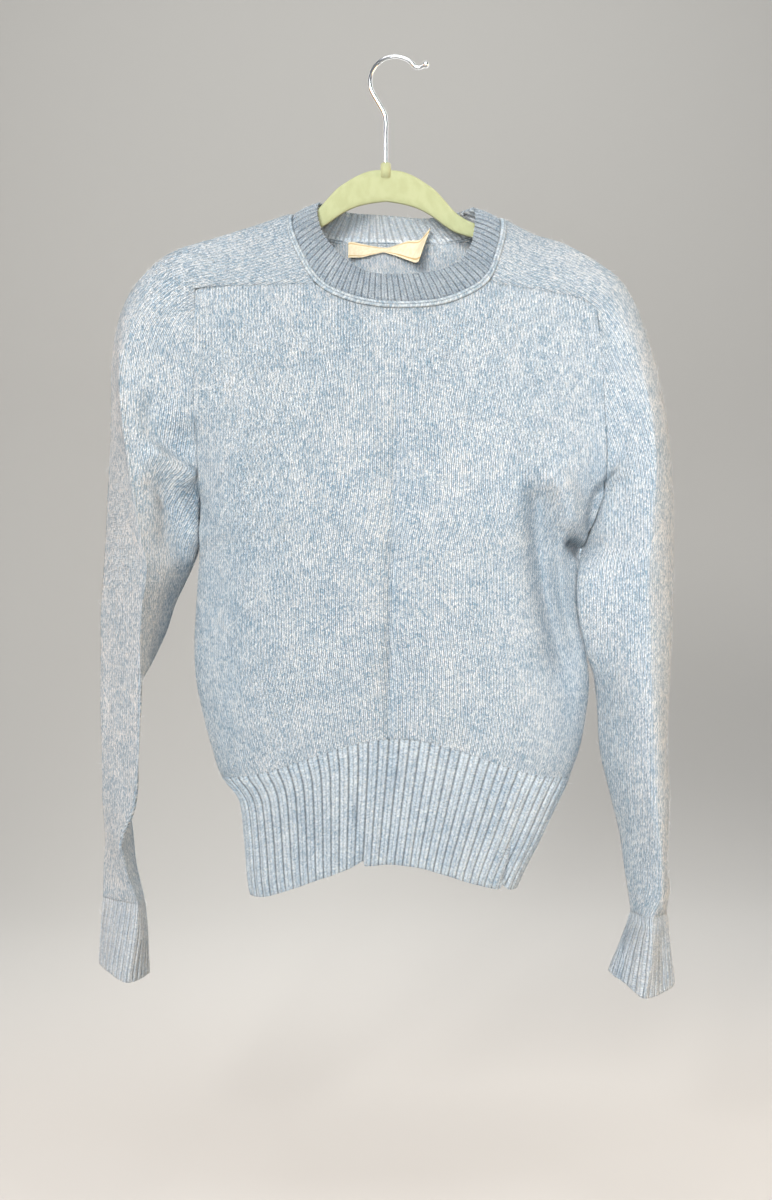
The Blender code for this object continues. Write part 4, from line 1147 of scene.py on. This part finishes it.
# the lines run 4.6 mm above and below the ribbon's middle
fromMiddle = maths(tree, "ABSOLUTE", maths(tree, "SUBTRACT", split.outputs["Y"], 6.0))
border = maths(tree, "ABSOLUTE", maths(tree, "SUBTRACT", fromMiddle, 4.6))
line = ramp(tree, border, 0.25, 0.5, 1.0, 0.0)
wear = ramp(tree, patches(tree, uv, 0.4, 0.4, detail=3.0), 0.3, 0.7)
cloth = mixColour(tree, wear, hexColour("D6C6A4"), hexColour("DFD2B8"))
tree.links.new(mixColour(tree, line, cloth, hexColour("B99A66")), shader.inputs["Base Color"])
weaveBump = addNode(tree, "ShaderNodeBump", {"Height": weave, "Strength": 0.3, "Distance": 0.0002})
tree.links.new(weaveBump.outputs["Normal"], shader.inputs["Normal"])
piece = gridPiece(
    "neckLabel", label["columns"], label["rows"],
    labelPoint,
    lambda u, v: (u * label["stitched"][0], v * label["stitched"][1]),
    lambda p: Vector((0, -1, 0)),
    labelMaterial,
    thickness=label["thickness"],
)
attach(piece, "root")
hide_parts("neck_label")
pieces["neckLabel"] = piece
print("label built")

# the hanger: a flat flocked bow with rounded edges

hanger = {
    "centreX": -5.0,
    "reach": 198.0,
    "thick": 5.5,
    "reaches": (0, 14, 26, 36, 44, 52, 61, 70, 80, 92, 107, 119, 133, 155, 172, 185, 198),
    "topZ": (
        -100.4, -101.7, -106.3, -112.3, -118, -126.5, -136.5, -143, -147.2,
        -149.8, -154.2, -158.4, -162.6, -169.4, -175.2, -181.7, -192.5,
    ),
    "lowZ": (
        -129, -131, -134, -138.5, -143.5, -149.5, -155, -158, -160.5,
        -163, -167.5, -171, -175, -181, -186.5, -192, -199.5,
    ),
    "tilt": math.tan(math.radians(1.2)),
    "around": 32,
    "along": 200,
    "socket": {"low": 0.0052, "top": 0.0047, "height": 0.014, "bevel": 0.0008},
}


def hangerPoint(u, v):
    off = mix(-hanger["reach"], hanger["reach"], v)
    lower = off * hanger["tilt"]
    top = smooth(hanger["reaches"], hanger["topZ"], abs(off)) - lower
    low = smooth(hanger["reaches"], hanger["lowZ"], abs(off)) - lower
    close = math.sqrt(max(1 - abs(2 * v - 1) ** 70, 0.0))
    a = 2 * math.pi * u
    c, s = math.cos(a), math.sin(a)
    y = hanger["thick"] / 2 * math.copysign(abs(c) ** 0.45, c) * mix(0.2, 1, close)
    z = (top + low) / 2 + (top - low) / 2 * math.copysign(abs(s) ** 0.6, s) * close
    return Vector((hanger["centreX"] + off, y, z))


# nylon flocking: a dull velvety yellow-green, mottled by its nap and finely grained
flockMaterial, tree, shader = newMaterial("paleFlocking", 1.0, 0.1)
uv = addNode(tree, "ShaderNodeUVMap", uv_map="stitches").outputs["UV"]
nap = patches(tree, uv, 0.12, 0.12, detail=3.0)
grains = patches(tree, uv, 2.6, 2.6, detail=3.0, roughness=0.7)  # 0.4 mm, coarser than real flock
flock = mixColour(tree, ramp(tree, nap, 0.35, 0.65), hexColour("989C73"), hexColour("A1A57D"))
flock = mixColour(tree, ramp(tree, grains, 0.3, 0.75, 0.0, 0.5), flock, hexColour("AEB292"))
tree.links.new(flock, shader.inputs["Base Color"])
napBump = addNode(tree, "ShaderNodeBump", {"Height": grains, "Strength": 0.6, "Distance": 0.0004})
tree.links.new(napBump.outputs["Normal"], shader.inputs["Normal"])
shader.inputs["Sheen Weight"].default_value = 0.2
shader.inputs["Sheen Roughness"].default_value = 0.5
piece = gridPiece(
    "hangerBow", hanger["around"], hanger["along"],
    hangerPoint,
    lambda u, v: (u * 70, v * 396),
    lambda p: Vector((0, p.y, 0)),
    flockMaterial,
    ring=True,
    thickness=0,
)
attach(piece, "root")
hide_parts("hanger_body")
pieces["hangerBow"] = piece

# the round socket that the wire stands in
hook = {"stemX": -5.6, "wire": 1.75, "radius": 22.5, "ball": 2.9, "centre": (2.7, 1.75 - 22.5)}
form = hanger["socket"]
mesh = bmesh.new()
bmesh.ops.create_cone(
    mesh, cap_ends=True, segments=40, radius1=form["low"], radius2=form["top"], depth=form["height"]
)
rims = [edge for edge in mesh.edges if edge.calc_face_angle(0) > 1]
bmesh.ops.bevel(mesh, geom=rims, offset=form["bevel"], segments=3, affect="EDGES")
mesh.loops.layers.uv.new("stitches")
bmesh.ops.translate(mesh, verts=mesh.verts, vec=toRow(Vector((hook["stemX"], 0, -101.5))))
socket = meshObject("hangerSocket", mesh, flockMaterial)
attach(socket, "root")

# the hook: bright wire with a small ball at its tip
# chrome plate: mirror-bright, so it gives thin lines of light and dark
chromeMaterial, tree, shader = newMaterial("chromedWire", 0.14, 0.5)
shader.inputs["Metallic"].default_value = 1.0
shader.inputs["Base Color"].default_value = hexColour("D6D8DA")
cx, cz = hook["centre"]
path = [Vector((hook["stemX"], 0, z)) for z in (-103.2, -85, -68, -56)]
path += [Vector((x, 0, z)) for x, z in ((-6.4, -50.8), (-9.5, -44.6), (-13.6, -37.6))]
for degrees in range(204, 29, -12):
    angle = math.radians(degrees)
    path.append(Vector((cx + hook["radius"] * math.cos(angle), 0, cz + hook["radius"] * math.sin(angle))))
path += [Vector((cx + 22.6, 0, cz + 12.6)), Vector((cx + 25.6, 0, cz + 14.2))]
curve = bpy.data.curves.new("hookWire", "CURVE")
curve.dimensions = "3D"
curve.bevel_depth = hook["wire"] * 0.001
curve.bevel_resolution = 6
curve.resolution_u = 8
curve.use_fill_caps = True
spline = curve.splines.new("BEZIER")
spline.bezier_points.add(len(path) - 1)
for knot, point in zip(spline.bezier_points, path):
    knot.co = toRow(point)
    knot.handle_left_type = knot.handle_right_type = "AUTO"
curve.materials.append(chromeMaterial)
wire = bpy.data.objects.new("hookWire", curve)
bpy.context.collection.objects.link(wire)
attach(wire, "root")
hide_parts("hanger_hook")

mesh = bmesh.new()
bmesh.ops.create_uvsphere(mesh, u_segments=32, v_segments=20, radius=hook["ball"] * 0.001)
way = (path[-1] - path[-2]).normalized()
bmesh.ops.translate(mesh, verts=mesh.verts, vec=toRow(path[-1] + way * hook["ball"] * 0.8))
ball = meshObject("hookBall", mesh, chromeMaterial)
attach(ball, "root")
print("hanger and hook built")

# loose fibres on each knitted piece: how many, how long in mm

loose = {
    "frontPanel": (11000, 4.8),
    "backPanel": (7000, 4.8),
    "sleeveLeft": (11000, 4.8),
    "sleeveRight": (11000, 4.8),
    "waistRibFront": (8000, 3.8),
    "waistRibBack": (3500, 3.8),
    "cuffLeft": (2600, 3.6),
    "cuffRight": (2600, 3.6),
    "neckband": (7000, 3.0),
}
for k, (name, (count, reach)) in enumerate(loose.items()):
    fuzz(f"{name}Fibres", pieces[name], count, reach, 40 + k)
print("fibres built")

# a pale floor that turns up behind

stage = {"floorZ": -1.06, "frontY": -8.0, "wallY": 2.4, "topZ": 4.0, "turn": 1.1, "halfWidth": 7.0}
turn, turnY = stage["turn"], stage["wallY"] - stage["turn"]
mesh = bmesh.new()
profile = [(stage["frontY"], stage["floorZ"]), (turnY, stage["floorZ"])]
for k in range(1, 13):
    angle = math.radians(90 * k / 12)
    profile.append((turnY + turn * math.sin(angle), stage["floorZ"] + turn * (1 - math.cos(angle))))
profile.append((stage["wallY"], stage["topZ"]))
rows = []
for y, z in profile:
    rows.append([mesh.verts.new((x, y, z)) for x in (-stage["halfWidth"], stage["halfWidth"])])
for low, high in zip(rows, rows[1:]):
    mesh.faces.new((low[0], low[1], high[1], high[0]))
# painted studio floor: an even pale grey without shine
floorMaterial, tree, shader = newMaterial("paleFloor", 0.9, 0.2)
shader.inputs["Base Color"].default_value = hexColour("BEBCB8")
floor = meshObject("floor", mesh, floorMaterial)
print("floor built")
